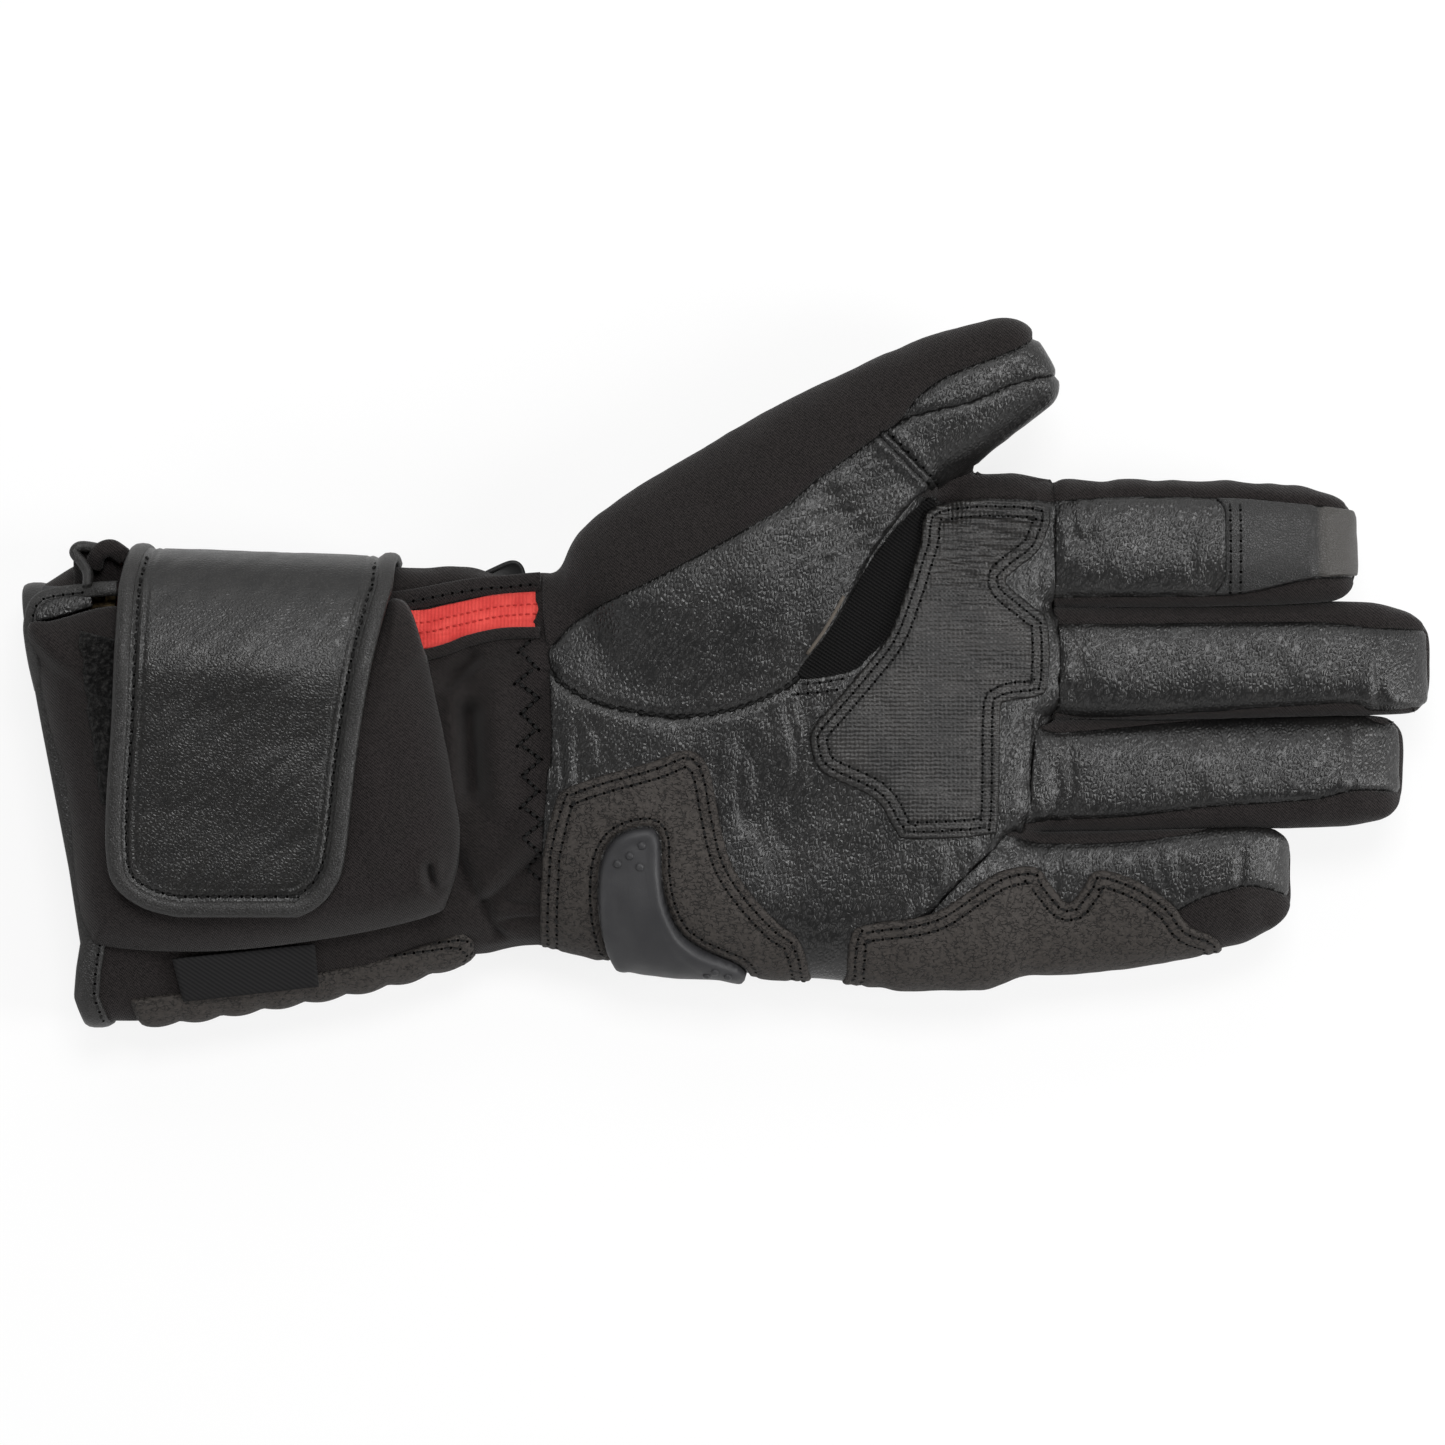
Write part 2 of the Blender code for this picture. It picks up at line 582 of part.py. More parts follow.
battery = box("battery_pack", (-134.0, -46.0, POUCH_FLOOR + 1.8), (-78.0, -2.0, POUCH_TOP - 1.8), cell)
soften = battery.modifiers.new("Edge", "BEVEL")
soften.width = 3.0 * MM
soften.segments = 2
loop_tape = box("loop_tape", (-142.0, -42.0, POUCH_TOP + GAP), (-92.0, 0.0, POUCH_TOP + GAP + TAPE),
                hook_loop)


# Side zip: a tape on the cuff's wall and a straight chain of teeth along it.
zip_tape = patch("zip_tape", ZIP_TAPE, GAP, GAP + 0.8, red_tape, cuff_sections, cuff_palm, on_cuff)
zip_start, zip_end = Vector(ZIP_START), Vector(ZIP_END)
zip_along = (zip_end - zip_start).normalized()
zip_up = Vector((0.0, math.sin(math.radians(ZIP_TILT)), math.cos(math.radians(ZIP_TILT))))
zip_across = zip_up.cross(zip_along).normalized()
zip_up = zip_along.cross(zip_across).normalized()


def on_zip(along, across, up):
    return zip_start + zip_along * along + zip_across * across + zip_up * up


def extruded(name, profile, stations, finish, swell=None):
    """A profile of (across, up) points swept along the zip."""
    points = []
    for index, along in enumerate(stations):
        wide = swell[index] if swell else 1.0
        points += [on_zip(along, across * wide, up) for across, up in profile]
    size = len(profile)
    faces = [list(range(size))[::-1], [size * (len(stations) - 1) + i for i in range(size)]]
    for row in range(len(stations) - 1):
        for i in range(size):
            a, b = row * size + i, row * size + (i + 1) % size
            faces.append((a, b, b + size, a + size))
    return add(name, points, faces, finish, False)


chain_length = (zip_end - zip_start).length
teeth = int(chain_length / ZIP_PITCH)
chain_stations = spread(0.0, teeth * ZIP_PITCH, teeth * 2)
chain_profile = [(-2.2, 0.0), (2.2, 0.0), (1.5, 1.5), (-1.5, 1.5)]
chain = extruded("zip_chain", chain_profile, chain_stations, coil,
                 [1.0 if index % 2 else 0.82 for index in range(len(chain_stations))])

channel = [(-4.6, 0.1), (-2.9, 0.1), (-2.9, 2.1), (2.9, 2.1), (2.9, 0.1), (4.6, 0.1), (4.6, 2.9), (3.6, 3.7),
           (-3.6, 3.7), (-4.6, 2.9)]
zip_slider = extruded("zip_slider", channel, spread(1.5, 12.5, 1), brass)
puller = extruded("zip_puller", [(-2.4, 4.0), (2.4, 4.0), (2.4, 5.2), (-2.4, 5.2)], spread(-8.0, 9.0, 1),
                  moulded)
zip_joint = body("zip_joint", on_zip(7.0, 0.0, 0.0), [zip_slider, puller])

# Closing flap: a sheet that comes over the thumb side and lies on the pouch.
anchor_sections = [between(CUFF, x) for x in spread(-135.0, -81.0, 3)]
flap_anchor = skin("flap_anchor", anchor_sections, [336.0, 348.0, 360.0, 367.0], GAP + 1.8, GAP, leather,
                   on_cuff)


def flap_path(steps):
    """Points and outward directions along the flap's outer face, from its hinge to its free edge."""
    count = len(FLAP_PROFILE)
    made = []
    for index in range(count - 1):
        near = [min(max(index + shift, 0), count - 1) for shift in (-1, 0, 1, 2)]
        p0, p1, p2, p3 = (Vector(FLAP_PROFILE[at]) for at in near)
        for step in range(steps if index < count - 2 else steps + 1):
            t = step / steps
            made.append(0.5 * (
                2 * p1 + (p2 - p0) * t + (2 * p0 - 5 * p1 + 4 * p2 - p3) * t**2
                + (3 * p1 - p0 - 3 * p2 + p3) * t**3))
    outward = []
    for index in range(len(made)):
        along = (made[min(index + 1, len(made) - 1)] - made[max(index - 1, 0)]).normalized()
        outward.append(Vector((along.y, -along.x)))
    return made, outward


def flap_edges(y, grow):
    """Left and right edge of the flap at y, with round corners at the free end."""
    left = FLAP_LEFT - FLAP_LEFT_SLANT * (FLAP_PROFILE[0][0] - y) - grow
    right = FLAP_RIGHT - FLAP_RIGHT_SLANT * (FLAP_PROFILE[0][0] - y) + grow
    radius = FLAP_CORNER + grow
    reach = min(max(y - (FLAP_PROFILE[-1][0] - grow), 0.0), radius)
    inset = radius - math.sqrt(max(radius**2 - (radius - reach) ** 2, 0.0))
    return left + inset, right - inset


def sheared(x, y, z):
    return (x, y - HINGE_SLANT * (x + 108.0), z)


flap_points, flap_out = flap_path(1)
end = Vector(FLAP_PROFILE[-1])
corner_rows = [FLAP_CORNER * (1 - math.sin(math.radians(angle))) for angle in (0, 30, 60, 90)]
flap_rows = [(p, n) for p, n in zip(flap_points, flap_out) if p.x > end.x + FLAP_CORNER + 1.0]
flap_rows += [(Vector((end.x + row, end.y)), Vector((0.0, 1.0))) for row in corner_rows]
columns = 5
points = []
for lift in (0.0, FLAP_SHEET):
    for point, outward in flap_rows:
        left, right = flap_edges(point.x, 0.0)
        for column in range(columns):
            x = left + (right - left) * column / (columns - 1)
            points.append(sheared(x, point.x - outward.x * lift, point.y - outward.y * lift))
under = len(flap_rows) * columns
faces = []
for row in range(len(flap_rows) - 1):
    for column in range(columns - 1):
        a = row * columns + column
        faces.append((a, a + columns, a + columns + 1, a + 1))
        faces.append((under + a, under + a + 1, under + a + columns + 1, under + a + columns))
    left, right = row * columns, row * columns + columns - 1
    faces.append((left, under + left, under + left + columns, left + columns))
    faces.append((right + columns, under + right + columns, under + right, right))
for column in range(columns - 1):
    a, b = column, (len(flap_rows) - 1) * columns + column
    faces.append((a + 1, under + a + 1, under + a, a))
    faces.append((b, under + b, under + b + 1, b + 1))
flap = add("flap_leather", points, faces, leather)

edge_points = {"left": [], "right": []}
grow = BINDING_RADIUS + GAP
for point, outward in flap_rows[:-4]:
    left, right = flap_edges(point.x, grow)
    middle = point - outward * FLAP_SHEET / 2
    edge_points["left"].append(sheared(left, middle.x, middle.y))
    edge_points["right"].append(sheared(right, middle.x, middle.y))
left_corner, right_corner = flap_edges(end.x + FLAP_CORNER, 0.0)
for angle in (0, 30, 60, 90):
    turn = math.radians(angle)
    radius = FLAP_CORNER + grow
    y = end.x + FLAP_CORNER - radius * math.sin(turn)
    z = end.y - FLAP_SHEET / 2
    edge_points["left"].append(sheared(left_corner + FLAP_CORNER - radius * math.cos(turn), y, z))
    edge_points["right"].append(sheared(right_corner - FLAP_CORNER + radius * math.cos(turn), y, z))
route = edge_points["left"] + edge_points["right"][::-1]
curve = bpy.data.curves.new("flap_binding", "CURVE")
curve.dimensions = "3D"
curve.bevel_depth = BINDING_RADIUS * MM
curve.bevel_resolution = 1
curve.use_fill_caps = True
spline = curve.splines.new("POLY")
spline.points.add(len(route) - 1)
for knot, point in zip(spline.points, route):
    knot.co = (*(Vector(point) * MM), 1.0)
binding = bpy.data.objects.new("flap_binding", curve)
bpy.context.scene.collection.objects.link(binding)
curve.materials.append(leather)

hook_top = FLAP_PROFILE[-2][1] - FLAP_SHEET - GAP
hook_tape = box("hook_tape", (-130.0, -33.0, hook_top - TAPE), (-94.0, -8.0, hook_top), hook_loop)
hinge_point = sheared(-108.0, *FLAP_PROFILE[0])
flap_joint = body("flap_joint", hinge_point, [flap, binding, hook_tape])
body("wrist_joint", WRIST_AXIS, [
    wrist_band, wrist_strap, strap_tab, palm_panel, back_panel, cuff_liner, mouth_binding, edge_guard,
    side_label, pouch, battery, loop_tape, zip_tape, chain, flap_anchor, zip_joint, flap_joint,
])

bpy.context.view_layer.update()
for item in bpy.data.objects:
    if item.type == "EMPTY":
        print(item.name, [round(value, 5) for value in item.matrix_world.translation])
print("zip axis", [round(value, 5) for value in zip_along])
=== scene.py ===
import math

import bmesh
import bpy
import numpy as np
from mathutils import Euler, Matrix, Vector, bvhtree, noise


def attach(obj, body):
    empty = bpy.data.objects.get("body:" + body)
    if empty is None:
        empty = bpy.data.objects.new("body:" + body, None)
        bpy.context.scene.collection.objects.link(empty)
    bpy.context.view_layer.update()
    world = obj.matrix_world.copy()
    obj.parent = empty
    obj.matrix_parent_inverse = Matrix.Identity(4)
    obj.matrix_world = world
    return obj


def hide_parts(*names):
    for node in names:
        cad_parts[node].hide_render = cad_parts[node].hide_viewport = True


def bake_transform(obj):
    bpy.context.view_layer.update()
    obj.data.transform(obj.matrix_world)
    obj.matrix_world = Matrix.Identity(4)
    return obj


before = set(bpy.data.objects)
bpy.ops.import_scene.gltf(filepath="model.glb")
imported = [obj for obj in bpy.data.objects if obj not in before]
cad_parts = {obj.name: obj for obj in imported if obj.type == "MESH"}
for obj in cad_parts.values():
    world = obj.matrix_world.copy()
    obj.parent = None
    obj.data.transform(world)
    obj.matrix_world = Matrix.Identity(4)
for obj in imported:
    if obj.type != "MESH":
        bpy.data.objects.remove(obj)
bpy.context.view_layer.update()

bpy.ops.object.select_all(action="DESELECT")


# The table: a pale sheet under the glove, which lies on its back with the palm up, lit by
# soft panels overhead, on the thumb side, beyond the fingertips and behind the heel. The camera looks
# straight down.
VIEW_WIDTH = 0.328
VIEW_CENTRE = (-0.0010, -0.0102)
LENS = 135
SENSOR = 36
FOCUS_HEIGHT = 0.025
CAMERA_REACH = VIEW_WIDTH * LENS / SENSOR
ROOM_STRENGTH = 0.22
TABLE_GREY = (0.86, 0.86, 0.86, 1)
TABLE_GLOW = 1.03
GLOW_SHARE = 0.8


def node_of(tree, kind, **settings):
    """A new shader node with its settings."""
    node = tree.nodes.new("ShaderNode" + kind)
    for key, value in settings.items():
        setattr(node, key, value)
    return node


def wired(tree, *pairs):
    """Links each output to its input."""
    for output, socket in pairs:
        tree.links.new(output, socket)


def set_inputs(node, **values):
    """Sets a node's inputs. A socket's spaces are underscores here."""
    for key, value in values.items():
        node.inputs[key.replace("_", " ")].default_value = value


scene = bpy.context.scene
scene.view_settings.view_transform = "Standard"
world = bpy.data.worlds.new("pale_room")
scene.world = world
world.use_nodes = True
room = world.node_tree
room_light = room.nodes["Background"]
white, path, mix = (node_of(room, kind) for kind in ("Background", "LightPath", "MixShader"))
way, split, ceiling = (node_of(room, kind) for kind in ("TexCoord", "SeparateXYZ", "MapRange"))
seen, either, brightness = (node_of(room, "Math", operation="MAXIMUM") for _ in range(3))
set_inputs(room_light, Color=(1, 1, 1, 1), Strength=ROOM_STRENGTH)
set_inputs(white, Color=(1, 1, 1, 1))
set_inputs(ceiling, From_Min=0.35, From_Max=0.7, To_Min=1.0, To_Max=0.1)
wired(room, (path.outputs["Is Camera Ray"], seen.inputs[0]), (path.outputs["Is Glossy Ray"], either.inputs[0]),
      (path.outputs["Is Transmission Ray"], either.inputs[1]), (either.outputs[0], seen.inputs[1]),
      (seen.outputs[0], mix.inputs[0]), (room_light.outputs[0], mix.inputs[1]), (white.outputs[0], mix.inputs[2]),
      (mix.outputs[0], room.nodes["World Output"].inputs["Surface"]),
      (way.outputs["Generated"], split.inputs[0]), (split.outputs["Z"], ceiling.inputs["Value"]),
      (ceiling.outputs["Result"], brightness.inputs[0]), (path.outputs["Is Camera Ray"], brightness.inputs[1]),
      (brightness.outputs[0], white.inputs["Strength"]))

bpy.ops.mesh.primitive_plane_add(size=6, location=(0, 0, 0))
table = bpy.context.object
table.name = "table"
sheet = bpy.data.materials.new("pale_table")
sheet.use_nodes = True
tree = sheet.node_tree
plain = tree.nodes["Principled BSDF"]
set_inputs(plain, Base_Color=TABLE_GREY, Roughness=0.9, Specular_IOR_Level=0.1)
glow, path, mix = (node_of(tree, kind) for kind in ("Emission", "LightPath", "MixShader"))
share = node_of(tree, "Math", operation="MULTIPLY")
set_inputs(glow, Strength=TABLE_GLOW)
share.inputs[1].default_value = GLOW_SHARE
wired(tree, (path.outputs["Is Camera Ray"], share.inputs[0]), (share.outputs[0], mix.inputs[0]),
      (plain.outputs[0], mix.inputs[1]), (glow.outputs[0], mix.inputs[2]),
      (mix.outputs[0], tree.nodes["Material Output"].inputs["Surface"]))
table.data.materials.append(sheet)


def soft_panel(name, place, aim, width, depth, power):
    """A soft square lamp at a place, turned to what it lights."""
    lamp = bpy.data.lights.new(name, "AREA")
    lamp.shape = "RECTANGLE"
    lamp.size, lamp.size_y, lamp.energy = width, depth, power
    panel = bpy.data.objects.new(name, lamp)
    scene.collection.objects.link(panel)
    panel.location = place
    panel.rotation_euler = (Vector(aim) - Vector(place)).to_track_quat("-Z", "Y").to_euler()


soft_panel("overhead_panel", (0.08, 0.52, 1.5), (0, 0, 0), 0.5, 0.4, 11.5)
soft_panel("thumb_side_panel", (-0.1, 0.95, 0.8), (0, 0, 0), 0.9, 0.5, 3)
soft_panel("fingertip_panel", (1.05, -0.15, 0.78), (0.05, 0, 0.02), 0.4, 0.8, 9)
soft_panel("heel_panel", (-0.8, -0.7, 0.9), (0, 0, 0), 0.5, 0.5, 2)

camera = bpy.data.objects.new("camera", bpy.data.cameras.new("camera"))
scene.collection.objects.link(camera)
camera.data.lens = LENS
camera.data.sensor_width = SENSOR
camera.location = (*VIEW_CENTRE, FOCUS_HEIGHT + CAMERA_REACH)
camera.data.clip_start = 0.05
scene.camera = camera


# The padded hand: palm, back and thumb as one stuffed form, which the panels below are cut from.
# It is worked out as a field, negative inside, on a fine grid, and skinned with even quads.
MM = 0.001
STEP = 0.85
SKIN_WALL = 1.1
PIXEL = 0.227
PHOTO_MIDDLE = (727, 677.5)
HAND_SECTIONS = [(-60, -19.4, 18, 39, 14, 2.5), (-41.5, -18.9, 19.6, 41.8, 17, 2.5),
                 (-28, -19.8, 20.9, 43.8, 18.5, 2.5), (-6, -17.5, 22, 48.5, 19, 2.5),
                 (17, -14.6, 22, 53.6, 18.5, 2.6), (40, -13.2, 21, 56.2, 17.5, 2.7),
                 (60, -12.6, 19.4, 55.9, 15.8, 3.0), (71, -11.6, 19, 54.7, 14, 3.4)]
FINGER_SECTIONS = {
    "index": [(54, 30.1, 19, 14.6, 12.8, 3.0), (71.5, 30.1, 19.2, 14.8, 12.6, 3.0), (95, 30.2, 20.4, 14.9, 12, 2.8),
              (120, 29.9, 23, 14.4, 11.4, 2.7), (132, 29.6, 24.2, 13.5, 10.6, 2.7), (141, 29.2, 24.8, 11, 9.6, 2.6),
              (148, 29.2, 25, 8.6, 8.4, 2.6)],
    "middle": [(54, 3.3, 19, 13.3, 12.8, 3.0), (71.5, 3.3, 19.2, 13.5, 12.6, 3.0), (100, 3.4, 20.4, 13.6, 12, 2.8),
               (135, 4.2, 23.4, 13.5, 11.4, 2.7), (149, 4.0, 24.6, 12.6, 10.6, 2.7),
               (158, 2.8, 25.2, 10.6, 9.6, 2.6),
               (165, 2.4, 25.6, 8.6, 8.4, 2.6)],
    "ring": [(54, -22, 19, 13.1, 12.8, 3.0), (71.5, -22, 19.2, 13.4, 12.6, 3.0), (98, -22, 20.4, 13.4, 12, 2.8),
             (130, -21.3, 23.2, 13.3, 11.4, 2.7), (143, -20.8, 24.4, 12.6, 10.6, 2.7),
             (151.5, -20.2, 25, 11, 9.6, 2.6),
             (159, -20, 25.4, 9, 8.4, 2.6)],
    "little": [(40, -51, 19, 15.8, 12.8, 3.0), (65.5, -50.6, 19.2, 16.3, 12.6, 3.0), (85, -50, 20, 16.1, 12, 2.8),
               (107, -47.9, 22.4, 14.8, 11.4, 2.7), (118, -46.4, 23.4, 13.6, 10.6, 2.7),
               (126, -45.4, 24, 10.8, 9.6, 2.6),
               (133, -45, 24.2, 8, 8.4, 2.6)]}
FINGER_ROLL = {"index": 0.07, "middle": 0.09, "ring": 0.09, "little": -0.14}
BORDER_STEPS = (71, 100, 120, 135)
FINGER_BORDERS = [(60,) * 4, (15.9, 16.1, 16.5, 17.2), (-9.4, -9.4, -9.0, -8.6), (-35.2, -34.6, -34.0, -33.8),
                  (-90,) * 4]
FINGER_TIP_FOLD = {"index": 133.5, "middle": 147.0, "ring": 141.0, "little": 116.0}
FINGER_TIP = {"index": 143.0, "middle": 160.0, "ring": 153.9, "little": 128.3}
THUMB_SECTIONS = [(0, -1, 25, 18, 12.5, 2.2), (14, -1.8, 26.5, 24.5, 15.5, 2.2), (40, -6.5, 28, 30, 16.6, 2.2),
                  (66, .6, 29, 21.8, 15, 2.3), (85, 4.4, 30, 15.8, 13.4, 2.4), (100, 3.6, 31, 14.4, 12.4, 2.4),
                  (126, .8, 32.5, 9.6, 9.6, 2.4)]
THUMB_LENGTH = 122
THUMB_TIP = (72.5, 72.0)
THUMB_TURN = math.radians(32)
PALM_FRONT = 71
SEWN_ROUND = 5
PRESS = 0.3
TIP_SLOPE = (0.46, 0.89)
HOLLOW_DEPTH, HOLLOW_MIDDLE, HOLLOW_REACH = 3.2, (8, -33), (24, 16)


def between(keys, at):
    """Values along a row of sections, smooth between them."""
    keys = np.asarray(keys, float)
    place, value = keys[:, 0], keys[:, 1:]
    slope = np.diff(value, axis=0) / np.diff(place)[:, None]
    slope = np.vstack([slope[:1], (slope[1:] + slope[:-1]) / 2, slope[-1:]])
    at = np.asarray(at, float)
    i = np.clip(np.searchsorted(place, at) - 1, 0, len(place) - 2)
    gap = (place[i + 1] - place[i])[..., None]
    u = np.clip((at[..., None] - place[i][..., None]) / gap, 0, 1)
    return ((1 + 2 * u) * (1 - u) ** 2 * value[i] + u * (1 - u) ** 2 * gap * slope[i]
            + u * u * (3 - 2 * u) * value[i + 1] + u * u * (u - 1) * gap * slope[i + 1])


def smooth_min(a, b, reach):
    """The lesser of two fields, rounded where they meet."""
    mixed = np.clip(0.5 + 0.5 * (b - a) / reach, 0, 1)
    return b + (a - b) * mixed - reach * mixed * (1 - mixed)


def smooth_max(a, b, reach):
    return -smooth_min(-a, -b, reach)


def tube_field(sections, along, across, up):
    """A field round a row of (place, y, z, half width, half height, squareness) sections."""
    y, z, half_width, half_height, power = np.moveaxis(between(sections, along), -1, 0)
    reach = (np.abs(across - y) / half_width) ** power + (np.abs(up - z) / half_height) ** power
    return (reach ** (1 / power) - 1) * np.minimum(half_width, half_height)


def palm_field(x, y, z):
    front = x - PALM_FRONT + 6 * np.clip((-31 - y) / 6, 0, 1)
    return smooth_max(tube_field(HAND_SECTIONS, x, y, z), front, 8)


def finger_sides(name, x):
    """The lines between a finger and its neighbours, low and high."""
    n = list(FINGER_SECTIONS).index(name)
    return np.interp(x, BORDER_STEPS, FINGER_BORDERS[n + 1]), np.interp(x, BORDER_STEPS, FINGER_BORDERS[n])


def finger_field(name, x, y, z):
    low, high = finger_sides(name, x)
    beside = np.maximum(low - PRESS - y, y - high - PRESS)
    fold = FINGER_TIP_FOLD[name]
    middle, height = between(FINGER_SECTIONS[name], np.array(fold))[[1, 3]]
    root, middle_y = FINGER_SECTIONS[name][1][:2]
    z = z + FINGER_ROLL[name] * (y - middle_y) * np.clip((x - root) / 16, 0, 1)
    facet = TIP_SLOPE[0] * (x - fold) + TIP_SLOPE[1] * (z - middle - height + 0.3)
    finger = smooth_max(tube_field(FINGER_SECTIONS[name], x, y, z), facet, 0.8)
    finger = smooth_max(finger, x - FINGER_TIP[name], 6)
    return smooth_max(smooth_max(finger, beside, 0.8), FINGER_SECTIONS[name][0][0] - x, 4)


def thumb_turned(x, y):
    """Plan places turned to run along the thumb and across it."""
    return x * math.cos(THUMB_TURN) + y * math.sin(THUMB_TURN), y * math.cos(THUMB_TURN) - x * math.sin(THUMB_TURN)


def thumb_field(x, y, z):
    along, across = thumb_turned(x - THUMB_TIP[0], y - THUMB_TIP[1])
    along = along + THUMB_LENGTH
    thumb = smooth_max(tube_field(THUMB_SECTIONS, along, across, z), along - THUMB_LENGTH, 7)
    return smooth_max(thumb, 4 - along, 8)


def hollowed(x, y, z):
    """Heights measured from a palm with a shallow hollow."""
    away = ((x - HOLLOW_MIDDLE[0]) / HOLLOW_REACH[0]) ** 2 + ((y - HOLLOW_MIDDLE[1]) / HOLLOW_REACH[1]) ** 2
    hollow = HOLLOW_DEPTH * np.exp(-away)
    return z + hollow * np.clip((z - 24) / 8, 0, 1)


def hand_field(x, y, z):
    z = hollowed(x, y, z)
    fingers = np.minimum.reduce([finger_field(name, x, y, z) for name in FINGER_SECTIONS])
    return smooth_min(smooth_min(palm_field(x, y, z), fingers, SEWN_ROUND), thumb_field(x, y, z), SEWN_ROUND)


def skin_of(field, low, high, step):
    """Vertices and quads on the zero of a field, one vertex in each grid cell that it crosses."""
    axes = [np.arange(a, b + step, step) for a, b in zip(low, high)]
    values = field(*np.meshgrid(*axes, indexing="ij"))
    inside = values < 0
    corners = [(i, j, k) for i in (0, 1) for j in (0, 1) for k in (0, 1)]
    cells = tuple(n - 1 for n in values.shape)

    def corner(grid, c):
        return grid[c[0]:c[0] + cells[0], c[1]:c[1] + cells[1], c[2]:c[2] + cells[2]]

    count = sum(corner(inside, c).astype(np.int8) for c in corners)
    active = (count > 0) & (count < 8)
    at = np.argwhere(active)
    value = {c: corner(values, c)[active] for c in corners}
    total, hits = np.zeros((len(at), 3)), np.zeros(len(at))
    for a in corners:
        for axis in range(3):
            if a[axis]:
                continue
            b = tuple(v + (n == axis) for n, v in enumerate(a))
            crosses = (value[a] < 0) != (value[b] < 0)
            share = np.where(crosses, value[a] / np.where(crosses, value[a] - value[b], 1), 0)
            point = np.tile(np.array(a, float), (len(at), 1))
            point[:, axis] += share
            total += point * crosses[:, None]
            hits += crosses
    vertices = np.array(low) + (at + total / hits[:, None]) * step
    number = np.full(cells, -1)
    number[active] = np.arange(len(at))
    quads = []
    for axis in range(3):
        low_side, high_side = [slice(None)] * 3, [slice(None)] * 3
        low_side[axis], high_side[axis] = slice(0, -1), slice(1, None)
        starts, ends = inside[tuple(low_side)], inside[tuple(high_side)]
        u, v = (axis + 1) % 3, (axis + 2) % 3
        edges = np.argwhere(starts != ends)
        edges = edges[(edges[:, u] > 0) & (edges[:, v] > 0) & (edges[:, u] < cells[u]) & (edges[:, v] < cells[v])]
        ring = []
        for du, dv in ((1, 1), (0, 1), (0, 0), (1, 0)):
            cell = edges.copy()
            cell[:, u] -= du
            cell[:, v] -= dv
            ring.append(number[cell[:, 0], cell[:, 1], cell[:, 2]])
        ring = np.stack(ring, 1)
        leaving = starts[edges[:, 0], edges[:, 1], edges[:, 2]]
        quads.append(np.where(leaving[:, None], ring, ring[:, ::-1]))
    return vertices, np.concatenate(quads)


def eased(vertices, quads, rounds):
    """The same quads with each vertex drawn towards its neighbours."""
    links = np.concatenate([np.stack([quads[:, n], quads[:, (n + 1) % 4]], 1) for n in range(4)])
    links = np.concatenate([links, links[:, ::-1]])
    near = np.maximum(np.bincount(links[:, 0], minlength=len(vertices)), 1)[:, None]
    for _ in range(rounds):
        moved = np.stack([np.bincount(links[:, 0], vertices[links[:, 1], n], len(vertices)) for n in range(3)], 1)
        vertices = vertices * 0.5 + moved / near * 0.5
    return vertices


def px(*points):
    """Points of a traced line in mm of the glove."""
    return [((x - PHOTO_MIDDLE[0]) * PIXEL, (PHOTO_MIDDLE[1] - y) * PIXEL) for x, y in points]


def curve(points, closed=False, parts=6):
    """A smooth line through points."""
    points = np.asarray(points, float)
    if closed:
        points = np.concatenate([points[-1:], points, points[:2]])
    else:
        points = np.concatenate([2 * points[:1] - points[1:2], points, 2 * points[-1:] - points[-2:-1]])
    u = np.linspace(0, 1, parts, endpoint=False)[None, :, None]
    a, b, c, d = (points[n:len(points) - 3 + n, None] for n in range(4))
    line = (2 * b + (c - a) * u + (2 * a - 5 * b + 4 * c - d) * u ** 2 + (3 * b - a - 3 * c + d) * u ** 3) / 2
    line = line.reshape(-1, points.shape[1])
    return line if closed else np.concatenate([line, points[-2:-1]])


def depth_in(ring, points):
    """Distance to a ring in plan, positive inside it."""
    ring = np.asarray(ring, float)
    ends = np.roll(ring, -1, axis=0)
    x, y = points[:, 0], points[:, 1]
    nearest = np.full(len(points), 1e9)
    inside = np.zeros(len(points), bool)
    for (ax, ay), (bx, by) in zip(ring, ends):
        run = max((bx - ax) ** 2 + (by - ay) ** 2, 1e-9)
        share = np.clip(((x - ax) * (bx - ax) + (y - ay) * (by - ay)) / run, 0, 1)
        nearest = np.minimum(nearest, (x - ax - share * (bx - ax)) ** 2 + (y - ay - share * (by - ay)) ** 2)
        if ay != by:
            inside ^= ((ay > y) != (by > y)) & (x < (bx - ax) * (y - ay) / (by - ay) + ax)
    return np.where(inside, 1, -1) * np.sqrt(nearest)


def cloth_of(vertices, quads):
    """A bmesh of vertices and quads."""
    cloth = bmesh.new()
    for place in vertices:
        cloth.verts.new(place)
    cloth.verts.ensure_lookup_table()
    for quad in quads:
        cloth.faces.new([cloth.verts[n] for n in quad])
    return cloth


def places(cloth):
    return np.array([v.co for v in cloth.verts])


